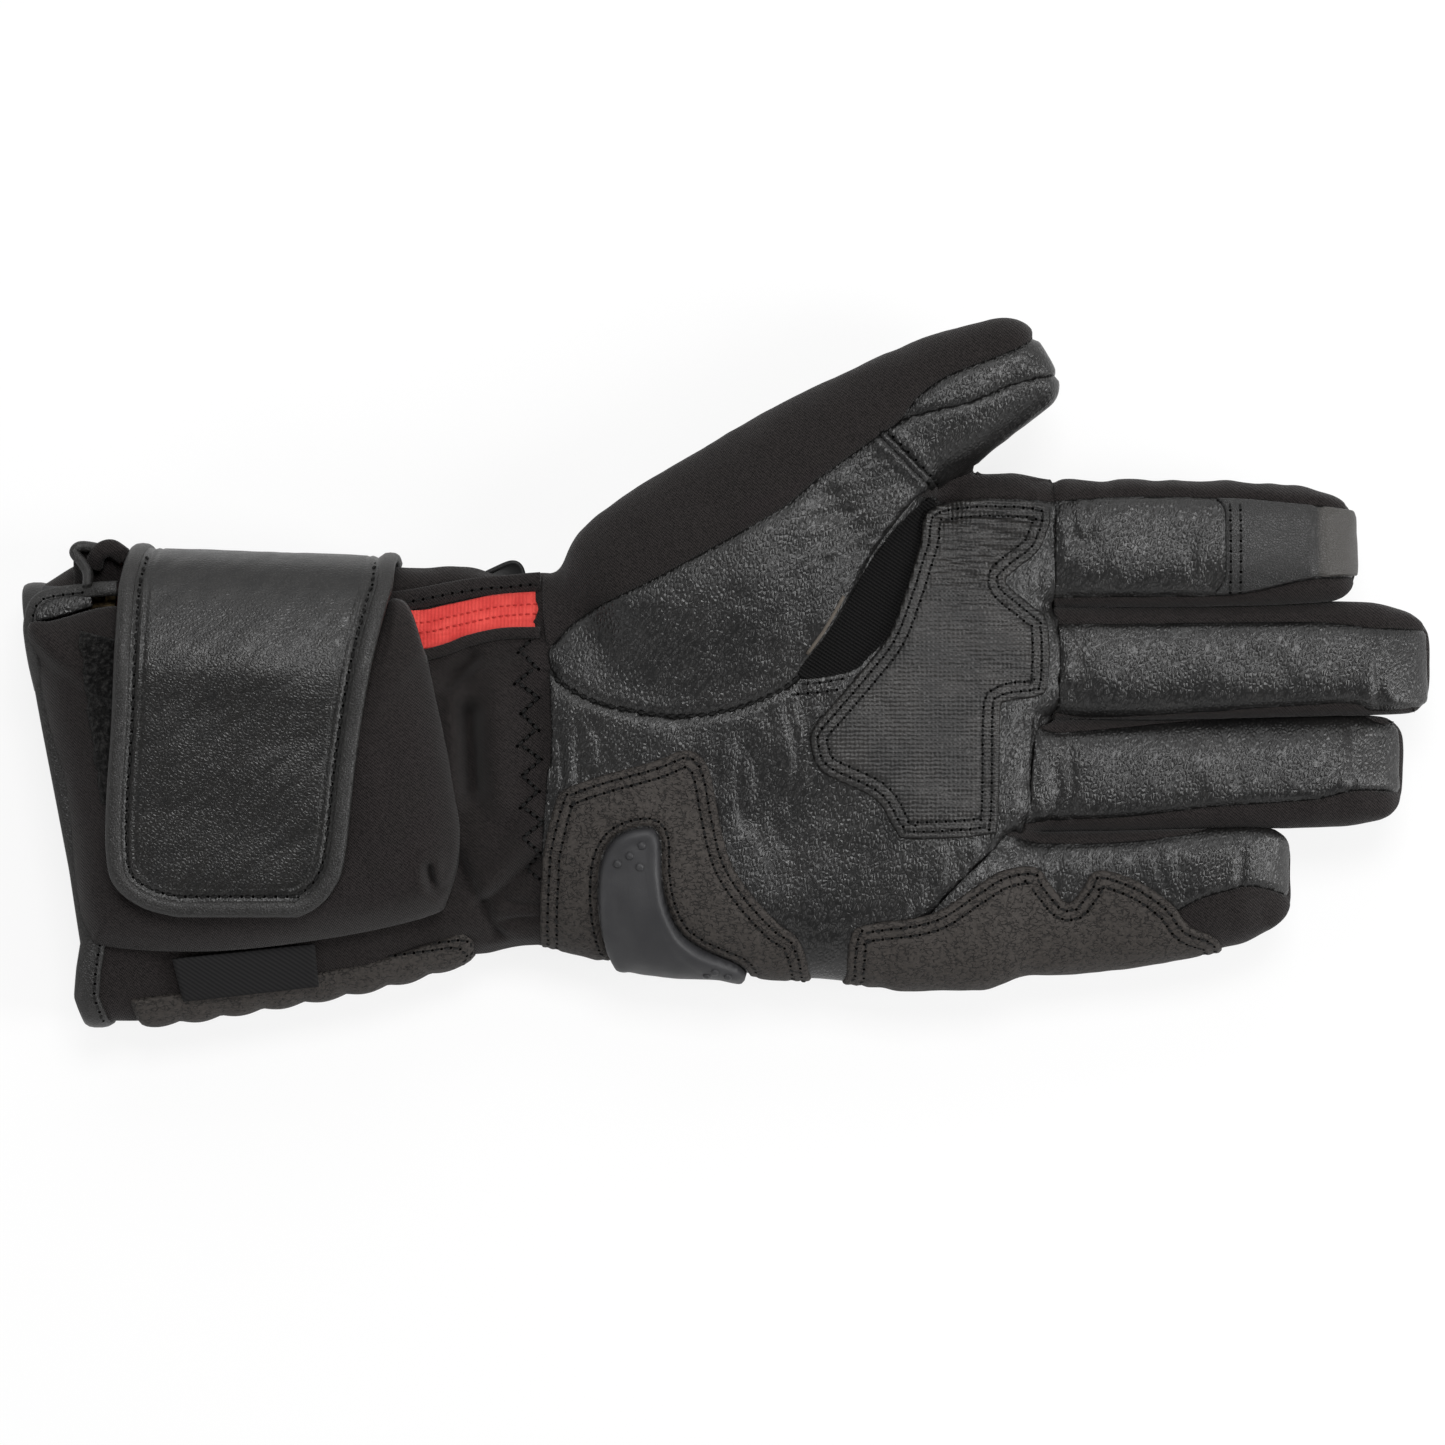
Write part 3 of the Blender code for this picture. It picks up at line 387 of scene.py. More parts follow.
def score(cloth, values, where=None):
    """Cuts the faces of a bmesh along the zero of the values at its vertices."""
    cloth.verts.ensure_lookup_table()
    cloth.verts.index_update()
    on_line, moved = [], set()
    for edge in list(cloth.edges):
        a, b = edge.verts
        start, end = values[a.index], values[b.index]
        if start * end >= 0 or (where is not None and not (where[a.index] and where[b.index])):
            continue
        share = start / (start - end)
        near = a if share < 0.15 else b if share > 0.85 else None
        if near is None:
            on_line.append((edge, a, share))
        elif near.index not in moved:
            moved.add(near.index)
            near.co = a.co.lerp(b.co, share)
    cloth.verts.ensure_lookup_table()
    kept = [cloth.verts[n] for n in moved]
    kept += [bmesh.utils.edge_split(edge, a, share)[1] for edge, a, share in on_line
             if edge.verts[0].index not in moved and edge.verts[1].index not in moved]
    bmesh.ops.connect_verts(cloth, verts=kept)
    cloth.verts.index_update()


# Seams of the hand in plan, in mm.
FAR = 400
THUMB_ONLY = 45
THUMB_EDGE = px((400, 590), (500, 640), (545, 662), (560, 682), (593, 701), (636, 712), (682, 717), (732, 710),
                (775, 694), (800, 678), (840, 620), (870, 560), (905, 512), (932, 489), (962, 479), (1000, 455),
                (1050, 418), (1100, 385))
thumb_side = np.concatenate([curve(THUMB_EDGE), [(FAR, FAR), (-FAR, FAR)]])
THUMB_FABRIC_EDGE = px((400, 700), (520, 662), (550, 646), (583, 616), (649, 583), (715, 548), (782, 510),
                       (815, 483), (880, 437), (898, 424), (916, 400), (947, 378), (1005, 356), (1031, 341),
                       (1060, 318))
thumb_leather_side = np.concatenate([curve(THUMB_FABRIC_EDGE), [(FAR, FAR), (FAR, -FAR), (-FAR, -FAR)]])
THUMB_HINGE_LINE = px((820, 378), (878, 436), (932, 490), (960, 518))
thumb_end_side = np.concatenate([THUMB_HINGE_LINE, [(FAR, -FAR), (FAR, FAR)]])
FACING_EDGE = px((880, 430), (897, 424), (932, 415), (970, 406), (1008, 390), (1060, 377), (1100, 365))
facing_side = np.concatenate([curve(FACING_EDGE), [(FAR, FAR), (-FAR, FAR)]])
FINGER_ROOTS = px((1054, 300), (1054, 440), (1054, 600), (1058, 620), (1056, 712), (1036, 735), (1026, 826),
                  (1005, 838), (936, 906), (905, 960), (890, 1100))
finger_side = np.concatenate([curve(FINGER_ROOTS), [(FAR, -FAR), (FAR, FAR)]])
WRIST_SEAM = px((543, 200), (543, 560), (550, 660), (553, 739), (547, 800), (543, 874), (548, 943), (556, 1100))
hand_side = np.concatenate([curve(WRIST_SEAM), [(FAR, -FAR), (FAR, FAR)]])
PALM_TOP_EDGE = px((400, 495), (900, 500), (932, 503), (1000, 501), (1054, 499), (1200, 499))
palm_leather_side = np.concatenate([curve(PALM_TOP_EDGE), [(FAR, -FAR), (-FAR, -FAR)]])


def hand_fields(points):
    """Distance to each seam of the hand, positive on the side that it is named after."""
    x, y, z = points.T
    along = thumb_turned(x - THUMB_TIP[0], y - THUMB_TIP[1])[0] + THUMB_LENGTH
    thumb_middle = between(THUMB_SECTIONS, along)[:, 1]
    hand_middle = between(HAND_SECTIONS, x)[:, 1]
    fingers = np.where(y > THUMB_ONLY, -50, depth_in(finger_side, points))
    # Past its hinge the thumb is all that lies nearer to its own tube than to the palm and the fingers.
    rest_of_hand = np.minimum.reduce([palm_field(x, y, z)] + [finger_field(name, x, y, z)
                                                              for name in FINGER_SECTIONS])
    thumb_end = depth_in(thumb_end_side, points)
    past_hinge = np.minimum(thumb_end - 1, rest_of_hand - thumb_field(x, y, z))
    return {"thumb": np.maximum(depth_in(thumb_side, points), past_hinge),
            "thumb_leather": np.minimum(depth_in(thumb_leather_side, points), z - thumb_middle + 5),
            "thumb_end": thumb_end, "facing": depth_in(facing_side, points),
            "fingers": fingers, "hand": depth_in(hand_side, points),
            "palm": np.minimum(depth_in(palm_leather_side, points), z - hand_middle + 4)}


vertices, quads = skin_of(hand_field, (-48, -74, 0), (82, 84, 50), STEP)
cloth = cloth_of(eased(vertices, quads, 2), quads)
for seam in ("hand", "fingers", "thumb", "thumb_leather", "thumb_end", "facing", "palm"):
    fields = hand_fields(places(cloth))
    where = {"hand": None, "fingers": None, "thumb": fields["hand"] > -3, "thumb_leather": fields["thumb"] > -1.5,
             "thumb_end": np.minimum(fields["thumb"], fields["thumb_leather"]) > -1.5,
             "facing": np.minimum(np.minimum(fields["thumb"], fields["thumb_leather"]), fields["thumb_end"]) > -1.5,
             "palm": fields["thumb"] < 1.5}[seam]
    score(cloth, fields[seam], where)


def bare(cloth):
    """Vertex places and face lists of a bmesh."""
    cloth.verts.index_update()
    return places(cloth), [[v.index for v in face.verts] for face in cloth.faces]


def normals_of(points, faces):
    total = np.zeros_like(points)
    for size in set(map(len, faces)):
        ring = np.array([face for face in faces if len(face) == size])
        area = np.cross(points[ring[:, 1]] - points[ring[:, 0]], points[ring[:, 2]] - points[ring[:, 0]])
        if size > 3:
            area = np.cross(points[ring[:, 2]] - points[ring[:, 0]], points[ring[:, 3]] - points[ring[:, 1]])
        for n in range(size):
            for axis in range(3):
                total[:, axis] += np.bincount(ring[:, n], area[:, axis], len(points))
    return total / np.maximum(np.linalg.norm(total, axis=1, keepdims=True), 1e-9)


def ripple(points, stretch, shift=0.0):
    """Even noise at points, about -1 to 1, with a grain of stretch mm along each axis."""
    scaled = points / np.asarray(stretch, float) + shift
    return np.array([noise.noise(Vector(place)) for place in scaled])


def furrow(distance, width, depth):
    return -depth * np.exp(-(distance / width) ** 2)


def creases(points, stretch, sharp, shift=0.0):
    """Fine folds, 0 to 1, on the lines where a noise passes zero."""
    return np.exp(-(ripple(points, stretch, shift) / sharp) ** 2)


hand_points, hand_faces = bare(cloth)
fields = hand_fields(hand_points)
centres = np.array([hand_points[face].mean(0) for face in hand_faces])
face_fields = hand_fields(centres)
kept = (face_fields["hand"] > 0) & (face_fields["fingers"] < 0)
on_thumb = face_fields["thumb"] > 0
leather = face_fields["thumb_leather"] > 0
tip = face_fields["thumb_end"] > 0
facing = face_fields["facing"] > 0
panel = np.where(on_thumb, np.where(~leather, "thumb_softshell", np.where(~tip, "thumb_base_leather",
                 np.where(facing, "thumb_tip_facing", "thumb_tip_leather"))),
                 np.where(face_fields["palm"] > 0, "palm_leather", "back_softshell"))
panel = np.where(kept, panel, "")
normal = normals_of(hand_points, hand_faces)
push = furrow(fields["thumb"], 1.1, 0.9) * (np.abs(normal[:, 2]) > 0.05)
on_thumb_vertex = np.clip(fields["thumb"] / 2 + 0.5, 0, 1)
push += furrow(fields["thumb_leather"], 1.0, 0.8) * on_thumb_vertex
push += np.where(fields["thumb_leather"] < 0, 0.9 * (1 - np.exp(fields["thumb_leather"] / 2)), 0) * on_thumb_vertex
on_leather = on_thumb_vertex * (fields["thumb_leather"] > -0.5)
push += (furrow(fields["thumb_end"], 0.9, 0.9) + 0.9 * np.exp(-(fields["thumb_end"] + 1.6) ** 2)) * on_leather
push += furrow(fields["facing"], 0.8, 0.7) * on_leather * (fields["thumb_end"] > 0)
push += furrow(fields["palm"], 1.0, 0.8) * (1 - on_thumb_vertex)
push += furrow(fields["fingers"], 1.2, 0.7)
push += 0.35 * ripple(hand_points, (9, 9, 9)) + 0.15 * ripple(hand_points, (4, 4, 4), 7.3)


def near(points, middle, reach):
    """1 at a place in plan, falling to 0 about reach mm away."""
    return np.exp(-np.sum((points[:, :2] - np.array(px(middle)[0])) ** 2, 1) / reach ** 2)


# Folds of the leather: the raised edge of the thumb over its sunk web, the short wrinkles that run
# into it along the thumb, upright wrinkles in the palm and folds at the finger roots.
WEB_EDGE = px((905, 520), (934, 502), (924, 548), (909, 594), (890, 632), (868, 656), (848, 672), (797, 675),
              (838, 618), (868, 568))
in_web = np.clip(depth_in(curve(WEB_EDGE, True, 4), hand_points) / 1.5, 0, 1) * (hand_points[:, 2] > 20)
fold_span = np.clip((hand_points[:, 0] - 15) / 6, 0, 1) * np.clip((48 - hand_points[:, 0]) / 5, 0, 1)
fold_span = fold_span * (hand_points[:, 2] > 20)
push -= 2.4 * in_web
push += 1.5 * fold_span * np.exp(-((fields["thumb"] - 2.0) / 2.2) ** 2)
turned = np.stack([*thumb_turned(hand_points[:, 0], hand_points[:, 1]), hand_points[:, 2]], 1)
drawn = np.clip(fields["thumb"], 0, 1) * np.clip(fields["thumb_leather"], 0, 1)
on_palm = np.clip(-fields["thumb"], 0, 1) * (hand_points[:, 2] > 20)
for where, depth, middle, reach, grain, stretch, sharp, shift in (
        (drawn, 0.75, (855, 545), 12, turned, (9, 2.0, 9), 0.25, 0.0),
        (drawn, 0.4, (872, 480), 9, turned, (7, 1.7, 9), 0.2, 3.0),
        (drawn, 0.9, (835, 518), 6, turned, (14, 3.4, 9), 0.3, 9.0),
        (on_palm, 0.55, (800, 735), 11, hand_points, (2.3, 12, 12), 0.22, 0.0),
        (on_palm, 0.9, (572, 765), 8, hand_points, (3.4, 9, 9), 0.25, 2.0),
        (on_palm, 0.6, (745, 800), 13, hand_points, (4.5, 16, 16), 0.18, 6.0)):
    push -= where * depth * near(hand_points, middle, reach) * creases(grain, stretch, sharp, shift)
push -= on_palm * 0.6 * np.exp(-(fields["fingers"] / 6) ** 2) * creases(hand_points, (2.6, 11, 11), 0.25, 4.0)
hand_points = hand_points + normal * push[:, None]


def shader(name, colour, roughness, specular=0.5, **sockets):
    """A material with its colour, roughness and any other socket of its surface."""
    finish = bpy.data.materials.new(name)
    finish.use_nodes = True
    set_inputs(finish.node_tree.nodes["Principled BSDF"], Base_Color=(*colour, 1), Roughness=roughness,
               Specular_IOR_Level=specular, **sockets)
    return finish


def pattern(finish, kind, scale, stretch=(1, 1, 1), turn=(0, 0, 0), warp=None, **settings):
    """A texture on the piece's own coordinates. scale is in repeats per metre."""
    tree = finish.node_tree
    coordinates, texture = node_of(tree, "TexCoord"), node_of(tree, "Tex" + kind)
    mapping = node_of(tree, "Mapping", vector_type="TEXTURE")
    set_inputs(mapping, Scale=[1 / share for share in stretch], Rotation=turn)
    tree.links.new(coordinates.outputs["Object"], mapping.inputs["Vector"])
    if "Scale" in texture.inputs:
        texture.inputs["Scale"].default_value = scale
    place = mapping.outputs["Vector"]
    if warp is not None:
        added = node_of(tree, "VectorMath", operation="MULTIPLY_ADD")
        added.inputs[1].default_value = (warp[1],) * 3
        wired(tree, (warp[0], added.inputs[0]), (place, added.inputs[2]))
        place = added.outputs[0]
    tree.links.new(place, texture.inputs["Vector"])
    for key, value in settings.items():
        if hasattr(texture, key):
            setattr(texture, key, value)
        else:
            texture.inputs[key.replace("_", " ").title()].default_value = value
    return texture.outputs


def levels(finish, value, low, high, to_low=0.0, to_high=1.0):
    """A value brought smoothly from low and high to other levels."""
    node = node_of(finish.node_tree, "MapRange", interpolation_type="SMOOTHSTEP")
    set_inputs(node, From_Min=low, From_Max=high, To_Min=to_low, To_Max=to_high)
    finish.node_tree.links.new(value, node.inputs["Value"])
    return node.outputs["Result"]


def sum_of(finish, a, b, share=1.0):
    """a plus share of b."""
    node = node_of(finish.node_tree, "Math", operation="MULTIPLY_ADD")
    node.inputs[1].default_value = share
    wired(finish.node_tree, (b, node.inputs[0]), (a, node.inputs[2]))
    return node.outputs[0]


def relief(finish, height, depth):
    """Raises the surface by height, 0 to 1, times depth in metres."""
    tree = finish.node_tree
    node = node_of(tree, "Bump")
    set_inputs(node, Distance=depth)
    tree.links.new(height, node.inputs["Height"])
    surface = tree.nodes["Principled BSDF"]
    if surface.inputs["Normal"].is_linked:
        tree.links.new(surface.inputs["Normal"].links[0].from_socket, node.inputs["Normal"])
    tree.links.new(node.outputs["Normal"], surface.inputs["Normal"])


def tint(finish, value, dark, light):
    """Colours a finish from dark to light by a value, 0 to 1."""
    tree = finish.node_tree
    node = node_of(tree, "Mix", data_type="RGBA")
    node.inputs["A"].default_value, node.inputs["B"].default_value = (*dark, 1), (*light, 1)
    wired(tree, (value, node.inputs["Factor"]),
          (node.outputs["Result"], tree.nodes["Principled BSDF"].inputs["Base Color"]))


def gloss(finish, value, low, high):
    """Roughness from low to high by a value, 0 to 1."""
    tree = finish.node_tree
    tree.links.new(levels(finish, value, 0, 1, low, high), tree.nodes["Principled BSDF"].inputs["Roughness"])


grained_leather = shader("grained_leather", (0.012, 0.0118, 0.0116), 0.42, 0.5)
wander = pattern(grained_leather, "Noise", 300, detail=2)["Color"]
pebble = pattern(grained_leather, "Voronoi", 880, (1.5, 0.85, 1), (0, 0, -0.35), feature="DISTANCE_TO_EDGE",
                 warp=(wander, 0.0007))["Distance"]
pebble = levels(grained_leather, pebble, 0.0, 0.4)
fine = pattern(grained_leather, "Noise", 2600, detail=3)["Fac"]
broad = pattern(grained_leather, "Noise", 60, detail=3)["Fac"]
swell = pattern(grained_leather, "Noise", 190, detail=3)["Fac"]
relief(grained_leather, swell, 0.00012)
relief(grained_leather, sum_of(grained_leather, pebble, fine, 0.15), 0.0001)
tint(grained_leather, sum_of(grained_leather, levels(grained_leather, broad, 0.35, 0.7, 0, 0.4), pebble, 0.6),
     (0.0035, 0.0035, 0.0036), (0.019, 0.0182, 0.0175))
gloss(grained_leather, broad, 0.4, 0.34)


def threads(finish, scale, turn):
    """Rows of threads that fade where the cloth faces along them, where they would show as rings."""
    tree = finish.node_tree
    face, faded = node_of(tree, "NewGeometry"), node_of(tree, "Mix")
    along, size = node_of(tree, "VectorMath", operation="DOT_PRODUCT"), node_of(tree, "Math", operation="ABSOLUTE")
    along.inputs[1].default_value = Euler(turn).to_matrix() @ Vector((1, 0, 0))
    faded.inputs[2].default_value = 0.5
    rows = pattern(finish, "Wave", scale, turn=turn, distortion=1.0, detail=1.0)["Fac"]
    wired(tree, (face.outputs["Normal"], along.inputs[0]), (along.outputs["Value"], size.inputs[0]),
          (levels(finish, size.outputs[0], 0.8, 0.96, 1, 0), faded.inputs[0]), (rows, faded.inputs[3]))
    return faded.outputs[0]


softshell = shader("softshell", (0.011, 0.0095, 0.0098), 0.85, 0.12, Sheen_Weight=0.08, Sheen_Roughness=0.5)
weave = threads(softshell, 560, (0, 0, 0.9))
cross = threads(softshell, 800, (0.4, 0, -0.6))
fuzz = pattern(softshell, "Noise", 1800, detail=3)["Fac"]
relief(softshell, sum_of(softshell, sum_of(softshell, weave, cross), fuzz), 0.00007)
tint(softshell, levels(softshell, sum_of(softshell, sum_of(softshell, fuzz, weave, 0.3), cross, 0.3), 0.4, 1.1),
     (0.0045, 0.0038, 0.0037), (0.0265, 0.0226, 0.022))


def piece_of(name, points, faces, finish, wall=SKIN_WALL):
    """A mesh piece from points in mm, with a wall of that thickness laid inside it."""
    used = sorted({n for face in faces for n in face})
    number = {old: new for new, old in enumerate(used)}
    mesh = bpy.data.meshes.new(name)
    mesh.from_pydata([tuple(p) for p in np.asarray(points)[used] * MM], [],
                     [[number[n] for n in face] for face in faces])
    mesh.validate()
    mesh.shade_smooth()
    piece = bpy.data.objects.new(name, mesh)
    scene.collection.objects.link(piece)
    mesh.materials.append(finish)
    if wall:
        bpy.ops.object.select_all(action="DESELECT")
        bpy.context.view_layer.objects.active = piece
        piece.select_set(True)
        modifier = piece.modifiers.new("wall", "SOLIDIFY")
        modifier.thickness = wall * MM
        modifier.offset = -1
        bpy.ops.object.modifier_apply(modifier=modifier.name)
    return piece


def stands_for(piece, slot, fill, *nodes):
    """Hides the CAD nodes that a piece replaces. The piece, its material slot and its fill are not used."""
    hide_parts(*nodes)


def panel_of(name):
    """The faces of the hand that were marked for a panel."""
    return [face for face, mark in zip(hand_faces, panel) if mark == name]


for name, finish, slot in (("palm_leather", grained_leather, "grained_leather"),
                           ("back_softshell", softshell, "softshell"),
                           ("thumb_base_leather", grained_leather, "grained_leather")):
    piece = piece_of(name + "_panel", hand_points, panel_of(name), finish)
    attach(piece, "hand")
    stands_for(piece, slot, 0.7, name)

for name, nodes, finish, slot in (("thumb_tip_leather", ["thumb_tip_leather"], grained_leather, "grained_leather"),
                                  ("thumb_tip_facing", ["thumb_tip_facing"], grained_leather, "grained_leather"),
                                  ("thumb_softshell", ["thumb_base_softshell", "thumb_tip_softshell"], softshell,
                                   "softshell")):
    piece = piece_of(name + "_panel", hand_points, panel_of(name), finish)
    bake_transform(piece)
    stands_for(piece, slot, 0.7, *nodes)

# The four fingers: a leather front and a fabric back each, sewn along both sides and folded over
# the tip. Each panel is shaped by the palm at its root and by its own finger beyond the knuckle.
FINGER_LEATHER = {
    "index": (px((1000, 499), (1054, 499), (1116, 495), (1230, 497), (1305, 504), (1375, 511)),
              px((1000, 625), (1040, 607), (1054, 601), (1116, 599), (1230, 597), (1305, 582), (1375, 577))),
    "middle": (px((1000, 585), (1040, 606), (1056, 620), (1127, 622), (1226, 621), (1324, 621), (1370, 627),
                  (1450, 631)),
               px((1000, 745), (1046, 716), (1094, 718), (1209, 713), (1340, 705), (1373, 712), (1450, 705))),
    "ring": (px((1000, 700), (1046, 728), (1094, 728), (1209, 719), (1340, 714), (1380, 722), (1425, 727)),
             px((980, 850), (1024, 826), (1127, 818), (1209, 808), (1308, 800), (1357, 790), (1425, 794))),
    "little": (px((900, 800), (1005, 836), (1094, 841), (1176, 834), (1226, 823), (1262, 824), (1310, 838)),
               px((900, 1050), (1022, 1010), (1110, 965), (1180, 908), (1226, 890), (1258, 887), (1310, 903)))}
FINGER_START = {"index": 70, "middle": 70, "ring": 64, "little": 34}
BEND_START = {"index": 75, "middle": 75, "ring": 72, "little": 67}
finger_skin = {}


def leather_of(name, points):
    """Depth inside the leather front of a finger."""
    x, y, z = points.T
    upper, lower = (curve(line) for line in FINGER_LEATHER[name])
    top = np.interp(x, upper[:, 0], upper[:, 1])
    bottom = np.interp(x, lower[:, 0], lower[:, 1])
    middle = between(FINGER_SECTIONS[name], x)[:, 1]
    return np.minimum(np.minimum(top - y, y - bottom), z - middle)


def finger_folds(name, points):
    """Cross folds of the leather: strong at the root, softer at the middle joint."""
    x = points[:, 0]
    root, tip = BEND_START[name], FINGER_TIP[name]
    strong = np.exp(-((x - root - 2) / 7) ** 2) + 0.35 * np.exp(-((x - (root + tip) / 2) / 9) ** 2) + 0.1
    seed = len(name) * 3.7
    coarse, fine = creases(points, (5.2, 16, 16), 0.16, seed), creases(points, (2.6, 9, 9), 0.2, seed + 5)
    return -strong * (0.6 * coarse + 0.3 * fine)


for name in FINGER_SECTIONS:
    middle_y = FINGER_SECTIONS[name][1][1]

    def with_palm(x, y, z):
        return smooth_min(palm_field(x, y, z), finger_field(name, x, y, z), SEWN_ROUND)

    vertices, quads = skin_of(with_palm, (FINGER_START[name], middle_y - 22, 2),
                              (FINGER_TIP[name] + 3, middle_y + 20, 40), STEP)
    cloth = cloth_of(eased(vertices, quads, 2), quads)
    for cut in (lambda p: depth_in(finger_side, p), lambda p: p[:, 1] - finger_sides(name, p[:, 0])[0] + 0.6,
                lambda p: finger_sides(name, p[:, 0])[1] + 0.6 - p[:, 1],
                lambda p: leather_of(name, p)):
        score(cloth, cut(places(cloth)))
    points, faces = bare(cloth)
    centres = np.array([points[face].mean(0) for face in faces])
    low, high = finger_sides(name, centres[:, 0])
    own = (depth_in(finger_side, centres) > 0) & (centres[:, 1] > low - 0.6) & (centres[:, 1] < high + 0.6)
    front = leather_of(name, centres) > 0
    normal = normals_of(points, faces)
    inside = leather_of(name, points)
    on_front = np.clip(inside / 3 + 0.5, 0, 1)
    push = furrow(inside, 0.9, 0.8) + furrow(depth_in(finger_side, points), 1.2, 0.7)
    push += 0.3 * ripple(points, (9, 9, 9)) + 0.12 * ripple(points, (4, 4, 4), 7.3)
    push += on_front * finger_folds(name, points)
    push += furrow(points[:, 0] - FINGER_TIP_FOLD[name], 1.2, 0.8) * on_front
    push += (1 - on_front) * (0.45 * ripple(points, (5, 14, 14), 3.1))
    low, high = finger_sides(name, points[:, 0])
    push *= np.clip(np.minimum(points[:, 1] - low, high - points[:, 1]) / 3, 0.15, 1)
    points = points + normal * push[:, None]
    finger_skin[name] = (points, [face for face, mine in zip(faces, own) if mine])
    for side, finish, slot in (("leather", grained_leather, "grained_leather"),
                               ("softshell", softshell, "softshell")):
        chosen = [face for face, mine, is_front in zip(faces, own, front)
                  if mine and is_front == (side == "leather")]
        piece = piece_of(name + "_" + side + "_panel", points, chosen, finish)
        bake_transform(piece)
        stands_for(piece, slot, 0.75, name + "_" + side)


# Liners: the brushed fleece bags inside the hand, the thumb and each finger, sewn in at the cuff.
# They lie a padding's depth inside the leather and only show through the cuff mouth.
LINER_DEPTH = 3.6
fleece = shader("fleece", (0.012, 0.0115, 0.012), 0.95, 0.1, Sheen_Weight=0.2, Sheen_Roughness=0.6)
pile = pattern(fleece, "Noise", 900, detail=4)["Fac"]
clump = pattern(fleece, "Voronoi", 420)["Distance"]
relief(fleece, sum_of(fleece, pile, clump, 0.6), 0.0006)
tint(fleece, pile, (0.006, 0.006, 0.0063), (0.022, 0.021, 0.022))


def liner_of(name, field, low, high, keep):
    """A liner at its depth inside a field, kept where keep says so."""
    vertices, quads = skin_of(lambda x, y, z: field(x, y, z) + LINER_DEPTH, low, high, 1.8)
    vertices = eased(vertices, quads, 2)
    kept = keep(vertices[quads].mean(1))
    piece = piece_of(name + "_bag", vertices, [list(quad) for quad in quads[kept]], fleece, 0.8)
    stands_for(piece, "fleece_liner", 0.5, name)
    return piece


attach(liner_of("hand_liner", lambda x, y, z: palm_field(x, y, hollowed(x, y, z)), (-46, -70, 0), (76, 50, 46),
                 lambda p: (p[:, 0] > -41) & (p[:, 0] < 64)), "hand")
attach(liner_of("thumb_base_liner", thumb_field, (-40, -8, 4), (80, 84, 48),
                 lambda p: depth_in(thumb_end_side, p) < 0), "hand")
piece = liner_of("thumb_tip_liner", thumb_field, (-40, -8, 4), (80, 84, 48),
                 lambda p: depth_in(thumb_end_side, p) > 0)
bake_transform(piece)
for name in FINGER_SECTIONS:
    middle_y = FINGER_SECTIONS[name][1][1]
    piece = liner_of(name + "_liner", lambda x, y, z: finger_field(name, x, y, z), (50, middle_y - 20, 2),
                     (FINGER_TIP[name] + 3, middle_y + 20, 40), lambda p: p[:, 0] > 64)
    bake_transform(piece)


# Palm patches: the woven-embossed grip patch under the fingers, the suede heel and edge patches,
# the ribbed stretch gusset in the thumb web and the smooth touch pad on the index finger, all laid
# on the leather with their edges turned under.
PATCH_STEP = 0.6
GRIP_EDGE = px((936, 506), (1040, 504), (1040, 546), (1012, 572), (1004, 584), (1030, 606), (1046, 624),
               (1046, 684), (1034, 697), (1004, 702), (998, 716), (996, 819), (983, 834), (907, 838), (893, 828),
               (873, 798), (824, 773), (811, 752), (811, 730), (831, 705), (860, 671), (886, 637), (903, 594),
               (918, 548))
HEEL_EDGE = px((683, 750), (700, 755), (711, 774), (719, 816), (730, 859), (750, 891), (778, 922), (797, 937),
               (809, 973), (809, 1040), (540, 1040), (540, 943), (543, 874), (546, 845), (558, 799), (568, 788),
               (600, 776), (654, 761))
OUTER_EDGE = px((850, 935), (865, 923), (928, 913), (971, 887), (1000, 870), (1034, 866), (1049, 884), (1066, 902),
                (1081, 887), (1090, 872), (1107, 870), (1141, 883), (1170, 904), (1187, 925), (1222, 948),
                (1222, 1040), (846, 1040), (846, 975))
SLIDER_EDGE = px((627, 830), (644, 826), (655, 828), (661, 841), (662, 874), (667, 903), (679, 929), (698, 945),
                 (721, 956), (742, 966), (747, 978), (735, 1000), (673, 1010), (630, 985), (616, 962), (606, 941),
                 (600, 903), (602, 864), (612, 841))
TOUCH_EDGE = px((1222, 480), (1400, 480), (1400, 610), (1222, 610), (1222, 578), (1222, 545), (1222, 512))

embossed_grip = shader("embossed_grip", (0.014, 0.0135, 0.013), 0.45, 0.5)
rows = pattern(embossed_grip, "Wave", 330, bands_direction="Y", distortion=3.0, detail=3.0, detail_scale=2.0)["Fac"]
columns = pattern(embossed_grip, "Wave", 310, bands_direction="X", distortion=3.0, detail=3.0,
                  detail_scale=2.0)["Fac"]
blotch = pattern(embossed_grip, "Noise", 140, detail=4)["Fac"]
fine = pattern(embossed_grip, "Noise", 1600, detail=3)["Fac"]
thread = sum_of(embossed_grip, rows, columns, 0.8)
dots = levels(embossed_grip, thread, 0.8, 1.7)
relief(embossed_grip, pattern(embossed_grip, "Noise", 200, detail=3)["Fac"], 0.0004)
relief(embossed_grip, sum_of(embossed_grip, thread, fine, 0.6), 0.0001)
tint(embossed_grip, sum_of(embossed_grip, levels(embossed_grip, blotch, 0.35, 0.7, 0, 0.5), dots, 0.5),
     (0.004, 0.0038, 0.0037), (0.03, 0.0275, 0.0255))
gloss(embossed_grip, blotch, 0.5, 0.38)

